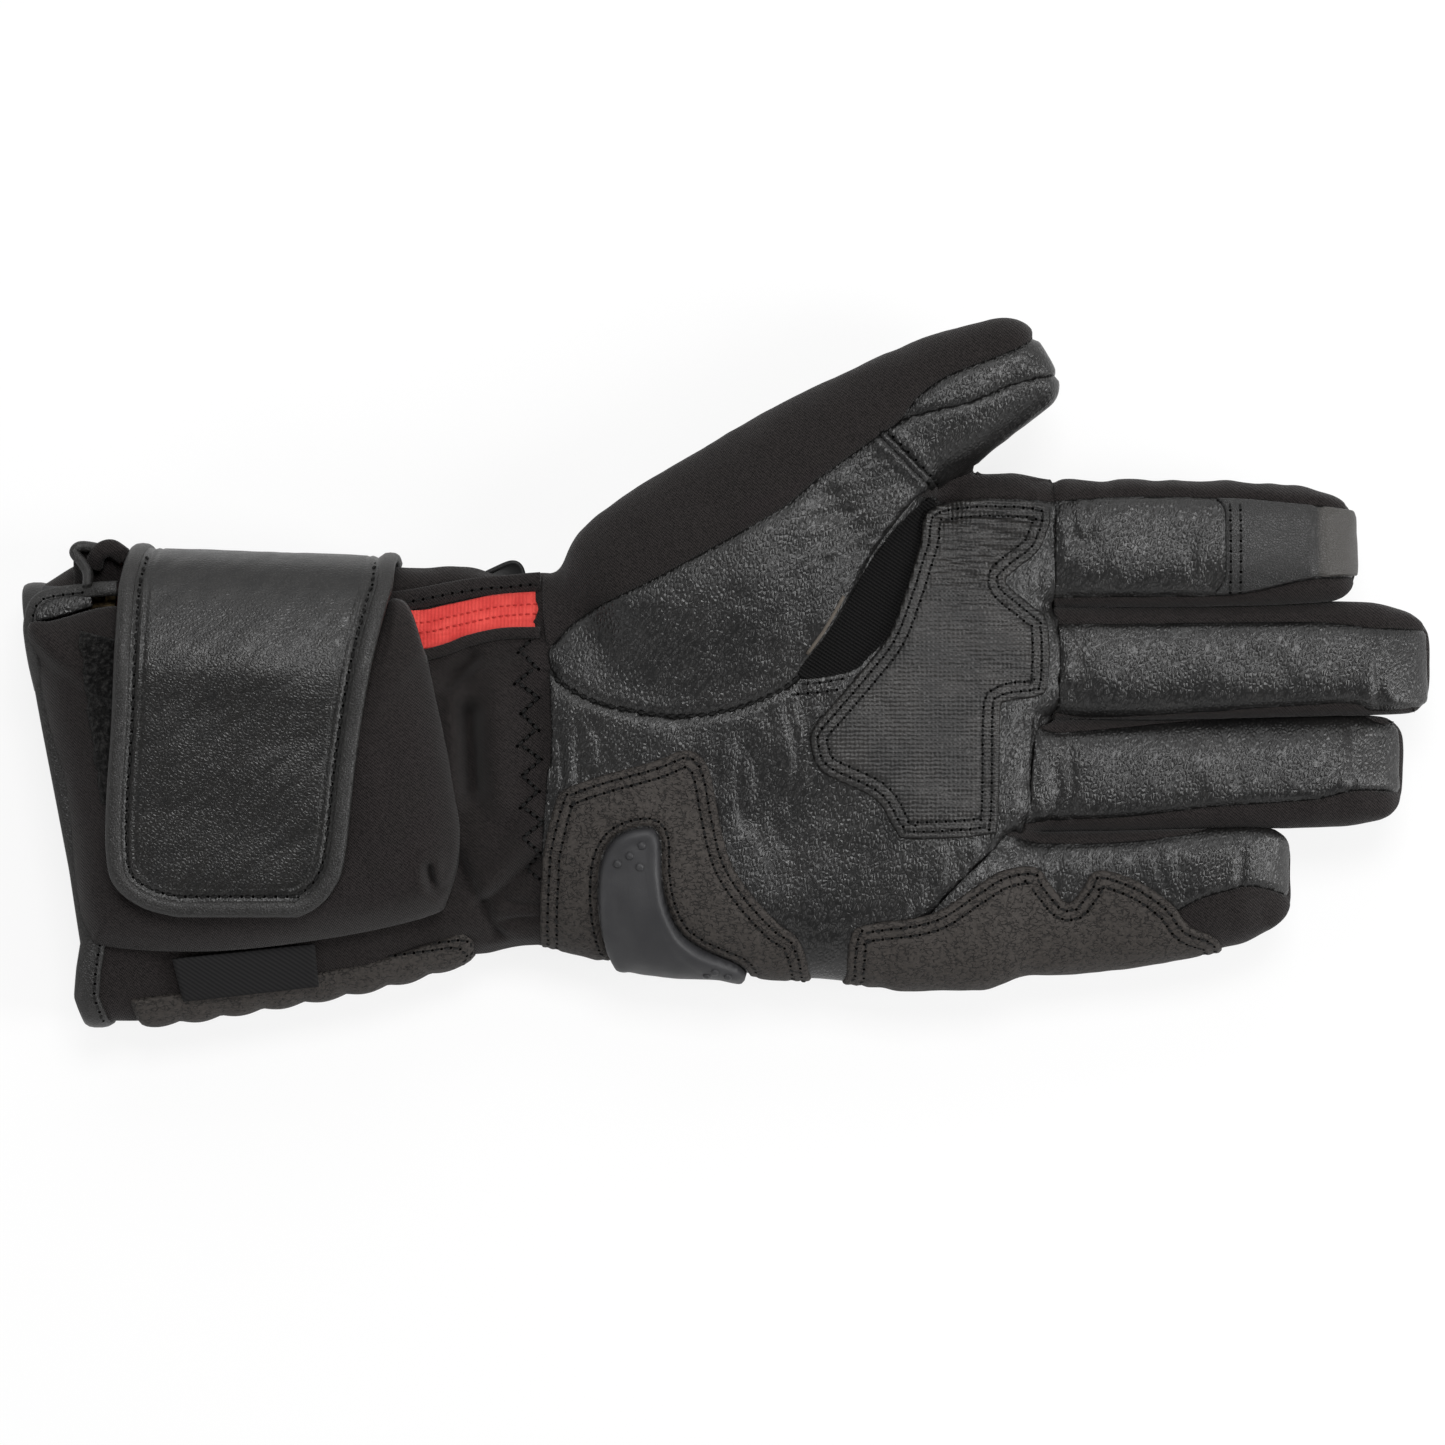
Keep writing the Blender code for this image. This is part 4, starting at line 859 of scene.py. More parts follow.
suede = shader("abrasion_suede", (0.026, 0.0225, 0.0205), 0.7, 0.3)
nap = pattern(suede, "Noise", 1500, detail=4)["Fac"]
wander = pattern(suede, "Noise", 700, detail=2)["Color"]
cracks = pattern(suede, "Voronoi", 1350, stretch=(0.55, 1, 1), feature="DISTANCE_TO_EDGE",
                 warp=(wander, 0.0009))["Distance"]
whole = levels(suede, pattern(suede, "Noise", 800, detail=2)["Fac"], 0.45, 0.6)
cracks = levels(suede, sum_of(suede, levels(suede, cracks, 0, 0.2), whole), 0, 1)
relief(suede, sum_of(suede, nap, cracks, 1.0), 0.00018)
tint(suede, sum_of(suede, levels(suede, nap, 0.2, 0.8, 0, 0.5), cracks, 0.5), (0.0055, 0.0048, 0.0044),
     (0.053, 0.0462, 0.0415))

knit = shader("stretch_knit", (0.008, 0.0078, 0.008), 0.9, 0.1)
rib = pattern(knit, "Wave", 420, turn=(0, 0, math.radians(58)), bands_direction="X", distortion=0.6,
              detail=1.0)["Fac"]
row = pattern(knit, "Wave", 520, turn=(0, 0, math.radians(58)), bands_direction="Y", distortion=0.6,
              detail=1.0)["Fac"]
relief(knit, sum_of(knit, rib, row, 0.5), 0.0003)
tint(knit, rib, (0.003, 0.003, 0.0032), (0.013, 0.0125, 0.0125))

touch_leather = shader("touch_leather", (0.013, 0.013, 0.0128), 0.44, 0.5)
pores = pattern(touch_leather, "Noise", 2400, detail=3)["Fac"]
swirl = pattern(touch_leather, "Voronoi", 1700, feature="DISTANCE_TO_EDGE")["Distance"]
swirl = levels(touch_leather, swirl, 0, 0.2)
relief(touch_leather, sum_of(touch_leather, swirl, pores, 0.5), 0.00007)
# The tip facet beyond the fold is painted lighter: a painted highlight for the sheen that the facet catches.
painted_tip_highlight = levels(touch_leather, pattern(touch_leather, "Gradient", 1)["Fac"], 0.1326, 0.1345)
tint(touch_leather, sum_of(touch_leather, levels(touch_leather, pores, 0, 1, 0, 0.1), painted_tip_highlight, 0.6),
     (0.01, 0.01, 0.0102), (0.07, 0.065, 0.059))


def patch_of(name, field, edge, low, high, lift, finish, shape=None, turned=1.6, within=None):
    """A patch cut to its edge from the surface of a field and laid lift mm above it."""
    ring = curve(edge, True, 4)
    start = (ring[:, 0].min() - 2, ring[:, 1].min() - 2, low)
    vertices, quads = skin_of(field, start, (ring[:, 0].max() + 2, ring[:, 1].max() + 2, high), PATCH_STEP)
    vertices = eased(vertices, quads, 3)

    def depth(points):
        inside = np.minimum(depth_in(ring, points), points[:, 2] - low - 1.5)
        return inside if within is None else np.minimum(inside, within(points))

    near = depth(vertices) > -2
    cloth = cloth_of(vertices, quads[near[quads].all(1)])
    bmesh.ops.delete(cloth, geom=[v for v in cloth.verts if not v.link_faces], context="VERTS")
    score(cloth, depth(places(cloth)))
    points, faces = bare(cloth)
    centres = np.array([points[face].mean(0) for face in faces])
    faces = [face for face, inside in zip(faces, depth(centres) > 0) if inside]
    normal = normals_of(points, faces)
    inside = np.maximum(depth(points), 0)
    rise = lift * np.sqrt(1 - (1 - np.clip(inside / turned, 0, 1)) ** 2)
    push = 0.1 + rise + 0.35 * ripple(points, (9, 9, 9)) + 0.15 * ripple(points, (4, 4, 4), 7.3)
    if shape is not None:
        push += shape(points, inside)
    points = points + normal * push[:, None]
    return piece_of(name, points, faces, finish, 0.9), (points, faces)


def sewn(depth_rows, depth):
    """The soft channel that each row of stitches draws into a patch."""
    return lambda points, inside: sum(furrow(inside - row, 0.8, depth) for row in depth_rows)


DOUBLE_ROW = (1.8, 3.9)


def grip_shape(points, inside):
    folds = creases(points @ np.array([[1, 0.12, 0], [-0.12, 1, 0], [0, 0, 1]]), (26, 2.7, 30), 0.22)
    pulled = (0.35 + 0.7 * np.clip((points[:, 1] - 12) / 14, 0, 1)) * np.clip((points[:, 0] - 42) / 12, 0, 1)
    return (sewn(DOUBLE_ROW, 0.35)(points, inside) - pulled * folds * np.clip(inside / 4, 0, 1)
            + 0.3 * ripple(points, (14, 5, 14), 2.2))


def web_shape(points, inside):
    return -1.3 * np.clip(inside / 1.5, 0, 1)


def heel_shape(points, inside):
    window = np.maximum(-depth_in(curve(SLIDER_EDGE, True, 4), points), 0)
    return sewn(DOUBLE_ROW, 0.35)(points, inside) + furrow(window - 1.9, 0.7, 0.35) + furrow(window, 0.8, 1.2)


patches = {}
for name, field, edge, low, high, lift, finish, slot, shape in (
        ("grip_patch", hand_field, GRIP_EDGE, 22, 46, 1.0, embossed_grip, "embossed_grip", grip_shape),
        ("heel_patch", hand_field, HEEL_EDGE, 10, 46, 0.9, suede, "abrasion_suede", heel_shape),
        ("thumb_web_gusset", hand_field, WEB_EDGE, 20, 46, 0.25, knit, "stretch_knit", web_shape)):
    piece, patches[name] = patch_of(name + "_overlay", field, edge, low, high, lift, finish, shape)
    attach(piece, "hand")
    stands_for(piece, slot, 0.4, name)
piece, patches["edge_patch"] = patch_of("edge_patch_overlay", hand_field, OUTER_EDGE, 9, 42, 0.9, suede,
                                        sewn(DOUBLE_ROW, 0.35))
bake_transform(piece)
stands_for(piece, "abrasion_suede", 0.4, "edge_patch", "little_edge_patch")


def index_field(x, y, z):
    return finger_field("index", x, y, z)


def touch_shape(points, inside):
    return furrow(points[:, 0] - FINGER_TIP_FOLD["index"], 1.2, 0.8)


piece, patches["touch_pad"] = patch_of(
    "index_touch_pad_overlay", index_field, TOUCH_EDGE, 20, 40, 0.35, touch_leather, touch_shape, 0.8,
    lambda points: leather_of("index", points) - 0.5)
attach(piece, "index")
stands_for(piece, "grained_leather", 0.4, "index_touch_pad")


# Stitching: bonded polyester thread, waxed black, in single and double rows along the patches and
# seams. Each stitch is a short bowed strand that dips into the leather at both ends.
THREAD_RADIUS = 0.27
STITCH_LENGTH = 1.6
STITCH_PITCH = 2.1
LONG_PITCH = 2.2
UPWARD = (0.0, 0.0, 1.0)
HOLE_RADIUS = 0.34
thread_finish = shader("sewing_thread", (0.008, 0.0078, 0.0078), 0.6, 0.3)
ply = pattern(thread_finish, "Wave", 1500, turn=(0.3, 0.2, 0.6))["Fac"]
relief(thread_finish, ply, 0.0001)
tint(thread_finish, ply, (0.002, 0.002, 0.002), (0.009, 0.0088, 0.0085))
# Needle holes are flat black discs at the stitch ends: painted shade for holes that are not cut into the leather.
needle_hole_shade = shader("needle_hole_shade", (0.001, 0.001, 0.001), 1.0, 0.0)


def joined(parts):
    """Points and faces of several parts as one."""
    points, faces = [], []
    for part_points, part_faces in parts:
        faces += [[n + len(points) for n in face] for face in part_faces]
        points += list(part_points)
    return points, faces


def surface_of(*skins):
    """A search tree over one or more skins."""
    points, faces = joined(skins)
    return bvhtree.BVHTree.FromPolygons([Vector(place) for place in points], faces)


def drop(surface, x, y, height=60):
    """Where a line straight down meets a surface, and the way out from it."""
    return surface.ray_cast(Vector((x, y, height)), Vector((0, 0, -1)))[:2]


def even_steps(line, pitch, closed):
    """Points at an even pitch along a line in plan, with their directions."""
    line = np.asarray(line, float)[:, :2]
    if closed:
        line = np.concatenate([line, line[:1]])
    run = np.concatenate([[0], np.cumsum(np.linalg.norm(np.diff(line, axis=0), axis=1))])
    count = max(int(run[-1] / pitch), 1)
    at = (np.arange(count) + 0.5) * run[-1] / count
    place = np.stack([np.interp(at, run, line[:, n]) for n in (0, 1)], 1)
    ahead = np.stack([np.interp(at + 0.2, run, line[:, n]) - np.interp(at - 0.2, run, line[:, n])
                      for n in (0, 1)], 1)
    return place, ahead / np.maximum(np.linalg.norm(ahead, axis=1, keepdims=True), 1e-9)


def turn_of(ring):
    """Twice the area of a ring, positive where it runs anticlockwise."""
    return np.sum(ring[:, 0] * np.roll(ring[:, 1], -1) - np.roll(ring[:, 0], -1) * ring[:, 1])


def inset(ring, depth):
    """A closed line moved inwards by depth, or outwards where it is negative."""
    ring = np.asarray(ring, float)
    ahead = np.roll(ring, -1, axis=0) - np.roll(ring, 1, axis=0)
    ahead /= np.maximum(np.linalg.norm(ahead, axis=1, keepdims=True), 1e-9)
    side = np.stack([-ahead[:, 1], ahead[:, 0]], 1)
    moved = ring + side * (depth if turn_of(ring) > 0 else -depth)
    return moved[depth_in(ring, moved) * np.sign(depth) > abs(depth) * 0.8]


def strand(length, radius, sides=5, rings=5):
    """One stitch along X, bowed up and tapered, as points and faces."""
    points, faces = [], []
    for n in range(rings):
        u = n / (rings - 1) * 2 - 1
        fat = radius * (1 - 0.55 * u ** 4)
        for k in range(sides):
            a = 2 * math.pi * k / sides
            points.append((u * length / 2, fat * math.cos(a),
                           fat * math.sin(a) - 1.6 * radius * abs(u) ** 3 + 0.25 * radius))
    for n in range(rings - 1):
        for k in range(sides):
            faces.append((n * sides + k, n * sides + (k + 1) % sides, (n + 1) * sides + (k + 1) % sides,
                          (n + 1) * sides + k))
    faces.append(tuple(range(sides))[::-1])
    faces.append(tuple((rings - 1) * sides + k for k in range(sides)))
    return np.array(points), faces


def stitches(places_ahead, surface, length=STITCH_LENGTH, radius=THREAD_RADIUS, height=60, lift=0.05,
             hole=HOLE_RADIUS):
    """Strands laid on a surface at plan points, with a black disc of painted shade for the hole at the end of each,
    as points and faces.
    """
    shape, rings = strand(length, radius)
    gap = length / 2 + 0.22
    disc = [(hole * math.cos(k * math.pi / 4), hole * math.sin(k * math.pi / 4), 0) for k in range(8)]
    points, faces = [], []
    for (x, y), (dx, dy) in zip(*places_ahead):
        place, up = drop(surface, x, y, height)
        if place is None or abs(up.z) < 0.12:
            continue
        up = up if up.z > 0 else -up
        end, end_up = drop(surface, x + dx * gap, y + dy * gap, height)
        if hole and end is not None and abs(end_up.z) > 0.12:
            end_up = end_up if end_up.z > 0 else -end_up
            side = end_up.cross(Vector((1, 0, 0))).normalized()
            faces.append([len(points) + k for k in range(8)])
            points += list(np.array(disc) @ np.array([side.cross(end_up), side, end_up])
                           + np.array(end + end_up * 0.09))
        ahead = Vector((dx, dy, 0))
        ahead = (ahead - up * ahead.dot(up)).normalized()
        frame_of = np.array([ahead, up.cross(ahead), up])
        start = len(points)
        points += list(shape @ frame_of + np.array(place + up * lift))
        faces += [[n + start for n in ring] for ring in rings]
    return points, faces


def thread_piece(name, parts):
    """Rows of stitches as one piece, with the needle holes, black discs of painted shade, in their own finish."""
    points, faces = joined(parts)
    piece = piece_of(name, np.array(points), faces, thread_finish, 0)
    piece.data.materials.append(needle_hole_shade)
    for face in piece.data.polygons:
        face.material_index = int(len(face.vertices) == 8)
    return piece


def rows_on(edge, surface, rows):
    """Rows of stitches at given depths inside an edge."""
    ring = curve(edge, True, 6)
    return [stitches(even_steps(inset(ring, row), STITCH_PITCH, True), surface) for row in rows]


def seam_of(name, lines, pitch, surface, closed=False, **sizes):
    """Rows of stitches along lines in plan, as one piece."""
    return thread_piece(name, [stitches(even_steps(line, pitch, closed), surface, **sizes) for line in lines])


grip_surface = surface_of(patches["grip_patch"])
heel_surface = surface_of(patches["heel_patch"])
piece = thread_piece("palm_stitching", rows_on(GRIP_EDGE, grip_surface, DOUBLE_ROW)
                     + rows_on(HEEL_EDGE, heel_surface, DOUBLE_ROW))
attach(piece, "hand")
piece = thread_piece("edge_stitching", rows_on(OUTER_EDGE, surface_of(patches["edge_patch"]), DOUBLE_ROW))
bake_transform(piece)
hand_surface = surface_of((hand_points, hand_faces))
THENAR_SEAM = curve(px((550, 669), (560, 681), (593, 700), (636, 711), (682, 716), (732, 709), (775, 693),
                       (798, 676)))
web_rows = [stitches(even_steps(px(*row), STITCH_PITCH, False), hand_surface)
            for row in (((797, 685), (820, 683), (842, 679)), ((788, 695), (815, 693), (836, 690)))]
thenar_row = stitches(even_steps(THENAR_SEAM, LONG_PITCH, False), hand_surface, length=1.9, radius=0.34, lift=0.3,
                      hole=0)
piece = thread_piece("thenar_stitching", [thenar_row] + web_rows)
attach(piece, "hand")


def grid_faces(rows, columns, closed=False):
    faces = []
    for r in range(rows - 1):
        for c in range(columns if closed else columns - 1):
            d = (c + 1) % columns
            faces.append([r * columns + c, r * columns + d, (r + 1) * columns + d, (r + 1) * columns + c])
    return faces


def swept(path, out, half_width, half_depth, sides=10, closed=False):
    """A flat-oval piping on a path. out points away from what it binds."""
    path, out = np.asarray(path, float), np.asarray(out, float)
    if closed:
        ahead = np.roll(path, -1, axis=0) - np.roll(path, 1, axis=0)
    else:
        ahead = np.gradient(path, axis=0)
    ahead /= np.maximum(np.linalg.norm(ahead, axis=1, keepdims=True), 1e-9)
    out = out - ahead * np.sum(out * ahead, 1, keepdims=True)
    out /= np.maximum(np.linalg.norm(out, axis=1, keepdims=True), 1e-9)
    side = np.cross(ahead, out)
    turn = np.linspace(0, 2 * np.pi, sides, endpoint=False)
    wide = np.sign(np.cos(turn)) * np.abs(np.cos(turn)) ** 0.8 * half_width
    deep = np.sign(np.sin(turn)) * np.abs(np.sin(turn)) ** 0.8 * half_depth
    points = path[:, None] + side[:, None] * wide[None, :, None] + out[:, None] * deep[None, :, None]
    faces = grid_faces(len(path), sides, True)
    last = (len(path) - 1) * sides
    if closed:
        faces += [[last + c, last + (c + 1) % sides, (c + 1) % sides, c] for c in range(sides)]
    else:
        faces += [list(range(sides))[::-1], [last + c for c in range(sides)]]
    return points.reshape(-1, 3), faces


def closed_piece(name, points, faces, finish):
    """A piece that is closed already, with its faces turned outwards."""
    piece = piece_of(name, points, faces, finish, 0)
    cloth = bmesh.new()
    cloth.from_mesh(piece.data)
    bmesh.ops.recalc_face_normals(cloth, faces=cloth.faces)
    cloth.to_mesh(piece.data)
    cloth.free()
    return piece


def piping(name, line, out, half_width, half_depth, sides, finish):
    """A closed piping along a line, and its points and faces. One way out may serve the whole line."""
    skin = swept(line, np.broadcast_to(out, np.shape(line)), half_width, half_depth, sides)
    return closed_piece(name, *skin, finish), skin


def on_hand(line, lift):
    """A plan line laid on the skin of the hand, with the way out from it."""
    hits = [drop(hand_surface, x, y) for x, y in line]
    return np.array([hit + up * lift for hit, up in hits]), np.array([up for _, up in hits])


hinge_line = even_steps(px((879, 437), (931, 489)), 0.8, False)[0]
piece, _ = piping("thumb_hinge_piping", *on_hand(hinge_line, 0.4), 0.95, 0.75, 10, grained_leather)
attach(piece, "hand")
hinge_row = np.array(px((884, 434), (936, 486)))
piece = seam_of("thumb_hinge_stitching", [hinge_row], LONG_PITCH, hand_surface, length=1.7, radius=0.26, lift=0.1)
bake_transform(piece)
raw_leather = shader("raw_leather_edge", (0.1, 0.086, 0.072), 0.75, 0.2)
tint(raw_leather, pattern(raw_leather, "Noise", 900, detail=3)["Fac"], (0.06, 0.052, 0.044), (0.15, 0.13, 0.11))
raw_line = curve(px((842, 598), (832, 616), (820, 636), (806, 655)), False, 6)
piece, _ = piping("thumb_fold_raw_edge", *on_hand(raw_line, 0.1), 0.4, 0.35, 8, raw_leather)
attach(piece, "hand")
touch_surface = surface_of(patches["touch_pad"], finger_skin["index"])
piece = seam_of("touch_pad_stitching", [px((x, 502), (x, 594)) for x in (1227, 1237)], STITCH_PITCH, touch_surface)
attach(piece, "index")


# The cuff: a gauntlet of stretch fabric, a palm half and a back half sewn along both sides, which
# narrows to the gathered wrist. Its sections run from the cuff's shape at the mouth to the hand's at the wrist.
SLEEVE = [(-153.2, -29.7, 15.9, 48.5, 16.6, 4.2), (-138, -25.4, 15.9, 52.6, 16.6, 3.4),
          (-110, -23.5, 15.9, 51, 16.6, 3.2), (-78, -21.5, 16.1, 47.5, 16.6, 3),
          (-60, -19.7, 17.4, 44.3, 15.4, 2.6), (-51, -19.3, 18.4, 43.1, 15.2, 2.5),
          (-38, -18.9, 19.8, 42.6, 16, 2.5)]
MOUTH = -153.2
MOUTH_SLANT = 0.145
MOUTH_DRAW = [(-80, 0.3), (-72, -0.8), (-66, 0.8), (-60, 2.8), (-43, 2.7), (-25, 1.8), (-12, 1.1), (5, 0.3),
              (20, 0)]
SLEEVE_STEP = 1.0


def sleeve(x, angle):
    """Points of the plain cuff at stations x and angles, and the way out from it."""
    x, angle = np.broadcast_arrays(np.asarray(x, float), np.asarray(angle, float))
    y, z, half_width, half_height, power = np.moveaxis(between(SLEEVE, x), -1, 0)
    c, s = np.cos(angle), np.sin(angle)
    across = y + half_width * np.sign(c) * np.abs(c) ** (2 / power)
    up = z + half_height * np.sign(s) * np.abs(s) ** (2 / power)
    out = np.stack([np.zeros_like(x), np.sign(c) * np.abs(c) ** (2 - 2 / power) / half_width,
                    np.sign(s) * np.abs(s) ** (2 - 2 / power) / half_height], -1)
    out /= np.linalg.norm(out, axis=-1, keepdims=True)
    near_mouth = np.clip((-60 - x) / 92, 0, 1)
    drawn_in = np.interp(across, *np.transpose(MOUTH_DRAW)) * near_mouth ** 3 * np.clip((up - 18) / 10, 0, 1)
    x = x - MOUTH_SLANT * (across + 24.5) * near_mouth + drawn_in
    return np.stack([x, across, np.maximum(up, 0.3)], -1), out


WRIST_FOLDS = [((470, 714), (474, 788), 2.4, -5.4), ((454, 690), (456, 800), 2.2, 1.4),
               ((498, 690), (500, 800), 3.6, 2.2), ((450, 684), (474, 657), 1.7, -3.0),
               ((478, 892), (526, 838), 2.4, 2.0), ((487, 905), (538, 862), 1.5, -2.0),
               ((458, 858), (497, 938), 1.6, -2.4), ((508, 903), (550, 907), 1.2, -1.3),
               ((504, 923), (542, 917), 1.1, -1.3), ((480, 672), (530, 662), 2.0, 1.4)]


def sleeve_folds(points):
    """Soft folds of the fabric, deepest where the wrist gathers it."""
    x, y, z = np.moveaxis(points, -1, 0)
    flat = points.reshape(-1, 3)
    gather = np.clip((x + 92) / 26, 0, 1) * np.clip((-38 - x) / 5, 0.25, 1)
    tape = np.exp(-((y - 12.5) / 8) ** 2) * (z > 20)
    large = ripple(flat, (13, 17, 15), 4.4).reshape(x.shape)
    small = ripple(flat, (9, 6, 7), 1.9).reshape(x.shape)
    pulled = np.zeros(x.shape)
    for start, end, width, rise in WRIST_FOLDS:
        a, b = (np.array(px(end_px)[0]) for end_px in (start, end))
        share = np.clip(((x - a[0]) * (b - a)[0] + (y - a[1]) * (b - a)[1]) / np.sum((b - a) ** 2), 0, 1)
        away = np.hypot(x - a[0] - share * (b - a)[0], y - a[1] - share * (b - a)[1])
        pulled += rise * np.exp(-(away / width) ** 2) * (z > 20)
    return (2.0 * gather * large * (1 - tape) + 0.8 * small * (0.25 + gather) * (1 - 0.8 * tape)
            + pulled) * np.clip(z / 5, 0, 1)


def grid_piece(name, points, finish, wall, closed=False, flip=False):
    rows, columns = points.shape[:2]
    faces = grid_faces(rows, columns, closed)
    if flip:
        faces = [face[::-1] for face in faces]
    return piece_of(name, points.reshape(-1, 3), faces, finish, wall)


def sleeve_grid(start, end, first, last, lift=0.0, folds=1.0, rows=None):
    columns = max(int((last - first) * 45 / SLEEVE_STEP), 8)
    rows = rows or max(int((end - start) / SLEEVE_STEP), 4)
    x, angle = np.meshgrid(np.linspace(start, end, rows), np.linspace(first, last, columns), indexing="ij")
    points, out = sleeve(x, angle)
    return points + out * (lift + folds * sleeve_folds(points))[..., None]


SIDE_SEAMS = [math.radians(degrees) for degrees in (-14, 194, 346)]
cuff_skin = {}
for name, nodes, first, last in (("cuff_palm_panel", ["cuff_palm_panel", "wrist_band"], *SIDE_SEAMS[:2]),
                                 ("cuff_back_panel", ["cuff_back_panel"], *SIDE_SEAMS[1:])):
    panel = sleeve_grid(MOUTH, -38, first, last)
    cuff_skin[name] = (panel.reshape(-1, 3), grid_faces(*panel.shape[:2]))
    piece = grid_piece(name + "_fabric", panel, softshell, 1.1)
    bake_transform(piece)
    stands_for(piece, "softshell", 0.5, *nodes)

piece = grid_piece("cuff_liner_bag", sleeve_grid(MOUTH + 1, -44, 0, 2 * math.pi, -2.6, 0.6), fleece, 0.8)
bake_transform(piece)
stands_for(piece, "fleece_liner", 0.5, "cuff_liner")

woven_tape = shader("woven_tape", (0.012, 0.012, 0.0125), 0.8, 0.2)
ribs = pattern(woven_tape, "Wave", 420, bands_direction="DIAGONAL", distortion=0.4)["Fac"]
relief(woven_tape, ribs, 0.00007)
tint(woven_tape, ribs, (0.007, 0.007, 0.0075), (0.017, 0.0165, 0.017))
strap = sleeve_grid(-55.5, -46.5, math.radians(208), math.radians(333), 1.2, 0.3, rows=10)
piece = grid_piece("wrist_strap_webbing", strap, woven_tape, 1.0)
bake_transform(piece)
stands_for(piece, "woven", 0.2, "wrist_strap")


# Zigzag elastic stitching that gathers the wrist band: a row of short strands that turn at each leg.
cuff_surface = surface_of(cuff_skin["cuff_palm_panel"])
zigzag = px(*[(537 - 18 * (n % 2) + 2 * math.sin(n * 1.7) + n * 0.5, 636 + 15.4 * n) for n in range(17)])
piece = seam_of("zigzag_stitching", [zigzag], 1.75, cuff_surface, length=1.7, radius=0.4, lift=0.15, hole=0.4)
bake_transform(piece)


# The mouth of the cuff: a strip of smooth leather folded over the raw edge all round and sewn through.
smooth_leather = shader("smooth_leather", (0.013, 0.0125, 0.0122), 0.42, 0.42)
skin_noise = pattern(smooth_leather, "Noise", 900, detail=4)["Fac"]
fine_grain = pattern(smooth_leather, "Voronoi", 1500, feature="DISTANCE_TO_EDGE")["Distance"]
fine_grain = levels(smooth_leather, fine_grain, 0, 0.2)
relief(smooth_leather, sum_of(smooth_leather, fine_grain, skin_noise, 0.8), 0.00006)
tint(smooth_leather, skin_noise, (0.009, 0.0088, 0.0088), (0.019, 0.018, 0.017))


MOUTH_STEPS = 260
angle = np.linspace(0, 2 * math.pi, MOUTH_STEPS, endpoint=False)
mouth, mouth_out = sleeve(np.full(MOUTH_STEPS, MOUTH + 2.4), angle)
mouth = mouth + mouth_out * 0.3
points, faces = swept(mouth, mouth_out, 2.9, 1.3, 14, True)
points[:, 2] = np.maximum(points[:, 2], 0.05)
piece = closed_piece("mouth_binding_leather", points, faces, smooth_leather)
mouth_surface = surface_of((points, faces))
mouth_row, _ = sleeve(np.full(200, MOUTH + 4.3), np.linspace(math.radians(95), math.radians(172), 200))
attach(seam_of("mouth_stitching", [mouth_row], LONG_PITCH, mouth_surface), "cuff")
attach(piece, "cuff")
stands_for(piece, "grained_leather", 0.4, "mouth_binding")


# The battery pocket: a box of the same fabric sewn on the cuff, filled by its battery and closed
# by the flap, with a band of fuzzy loop tape on top for the flap to hold to.


def raised(points, height):
    """Traced plan points moved to where the camera sees them at a height in mm."""
    middle = np.array(VIEW_CENTRE) / MM
    return middle + (np.array(points, float) - middle) * (1 - (height * MM - FOCUS_HEIGHT) / CAMERA_REACH)


def lifted(*traced):
    """Traced (x, y, height) points in mm of the glove, drawn in for their height."""
    return [(*raised(px((x, y)), height)[0], height) for x, y, height in traced]


POCKET = px((28, 625), (34, 672), (46, 732), (62, 790), (72, 890), (84, 934), (107, 949), (214, 953), (339, 938),
            (429, 917), (446, 900), (457, 862), (459, 821), (449, 760), (439, 714), (424, 650), (410, 608),
            (396, 598), (384, 606), (366, 628), (338, 645), (300, 649), (200, 645), (160, 634), (136, 613),
            (118, 606), (92, 609), (53, 620))
POCKET_BASE = 29.5
POCKET_TOP = 48.4
pocket_ring = curve(raised(POCKET, 39), True, 8)
pocket_middle = np.array([-97.0, -34.0])
levels_in = np.concatenate([np.linspace(1, 0.8, 26), np.linspace(0.79, 0.05, 30)])
reach = pocket_ring - pocket_middle
heading = np.arctan2(reach[:, 1], reach[:, 0])
leftness = np.clip(-np.cos(heading), 0, 1) ** 3
topness = np.clip(np.sin(heading), 0, 1) ** 2
rounding = 18 + 22 * leftness + 9 * topness
zip_border = np.interp(pocket_ring[:, 0], [-152, -146, -104, -94], [5, 8, 8, 3])
over_zip = np.clip((pocket_ring[:, 1] - zip_border) / 4, 0, 1)
base = POCKET_BASE + 9.7 * over_zip
pocket = np.zeros((len(levels_in), len(pocket_ring), 3))
pocket[..., :2] = pocket_middle + reach[None] * levels_in[:, None, None]
within = np.maximum(depth_in(pocket_ring, pocket.reshape(-1, 3)), 0).reshape(pocket.shape[:2])
height = (1 - (1 - np.clip(within / rounding, 0, 1)) ** 2.6) ** (1 / 2.4)
pocket[..., 2] = base + (POCKET_TOP - base) * height
flat = pocket.reshape(-1, 3)
sag = 0.8 * ripple(flat, (15, 15, 12), 8.8) + 0.35 * ripple(flat, (6, 6, 6), 2.7)
tuck = raised(curve(px((429, 868), (431, 881), (438, 890), (447, 889), (458, 882)), False, 5), 42)
away = np.min(np.hypot(flat[:, None, 0] - tuck[None, :, 0], flat[:, None, 1] - tuck[None, :, 1]), 1)
tucked = furrow(away, 1.0, 3.0) + 1.2 * np.exp(-((away - 2.2) / 1.4) ** 2)
flat[:, 2] += (sag + tucked) * np.clip((flat[:, 2] - 31) / 8, 0, 1)
pocket_faces = grid_faces(*pocket.shape[:2], True)
last = (len(levels_in) - 1) * len(pocket_ring)
pocket_faces.append([last + n for n in range(len(pocket_ring))])
if turn_of(pocket_ring) < 0:
    pocket_faces = [face[::-1] for face in pocket_faces]
piece = piece_of("battery_pouch_fabric", flat, pocket_faces, softshell, 0.9)
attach(piece, "cuff")
stands_for(piece, "softshell", 0.8, "battery_pouch")

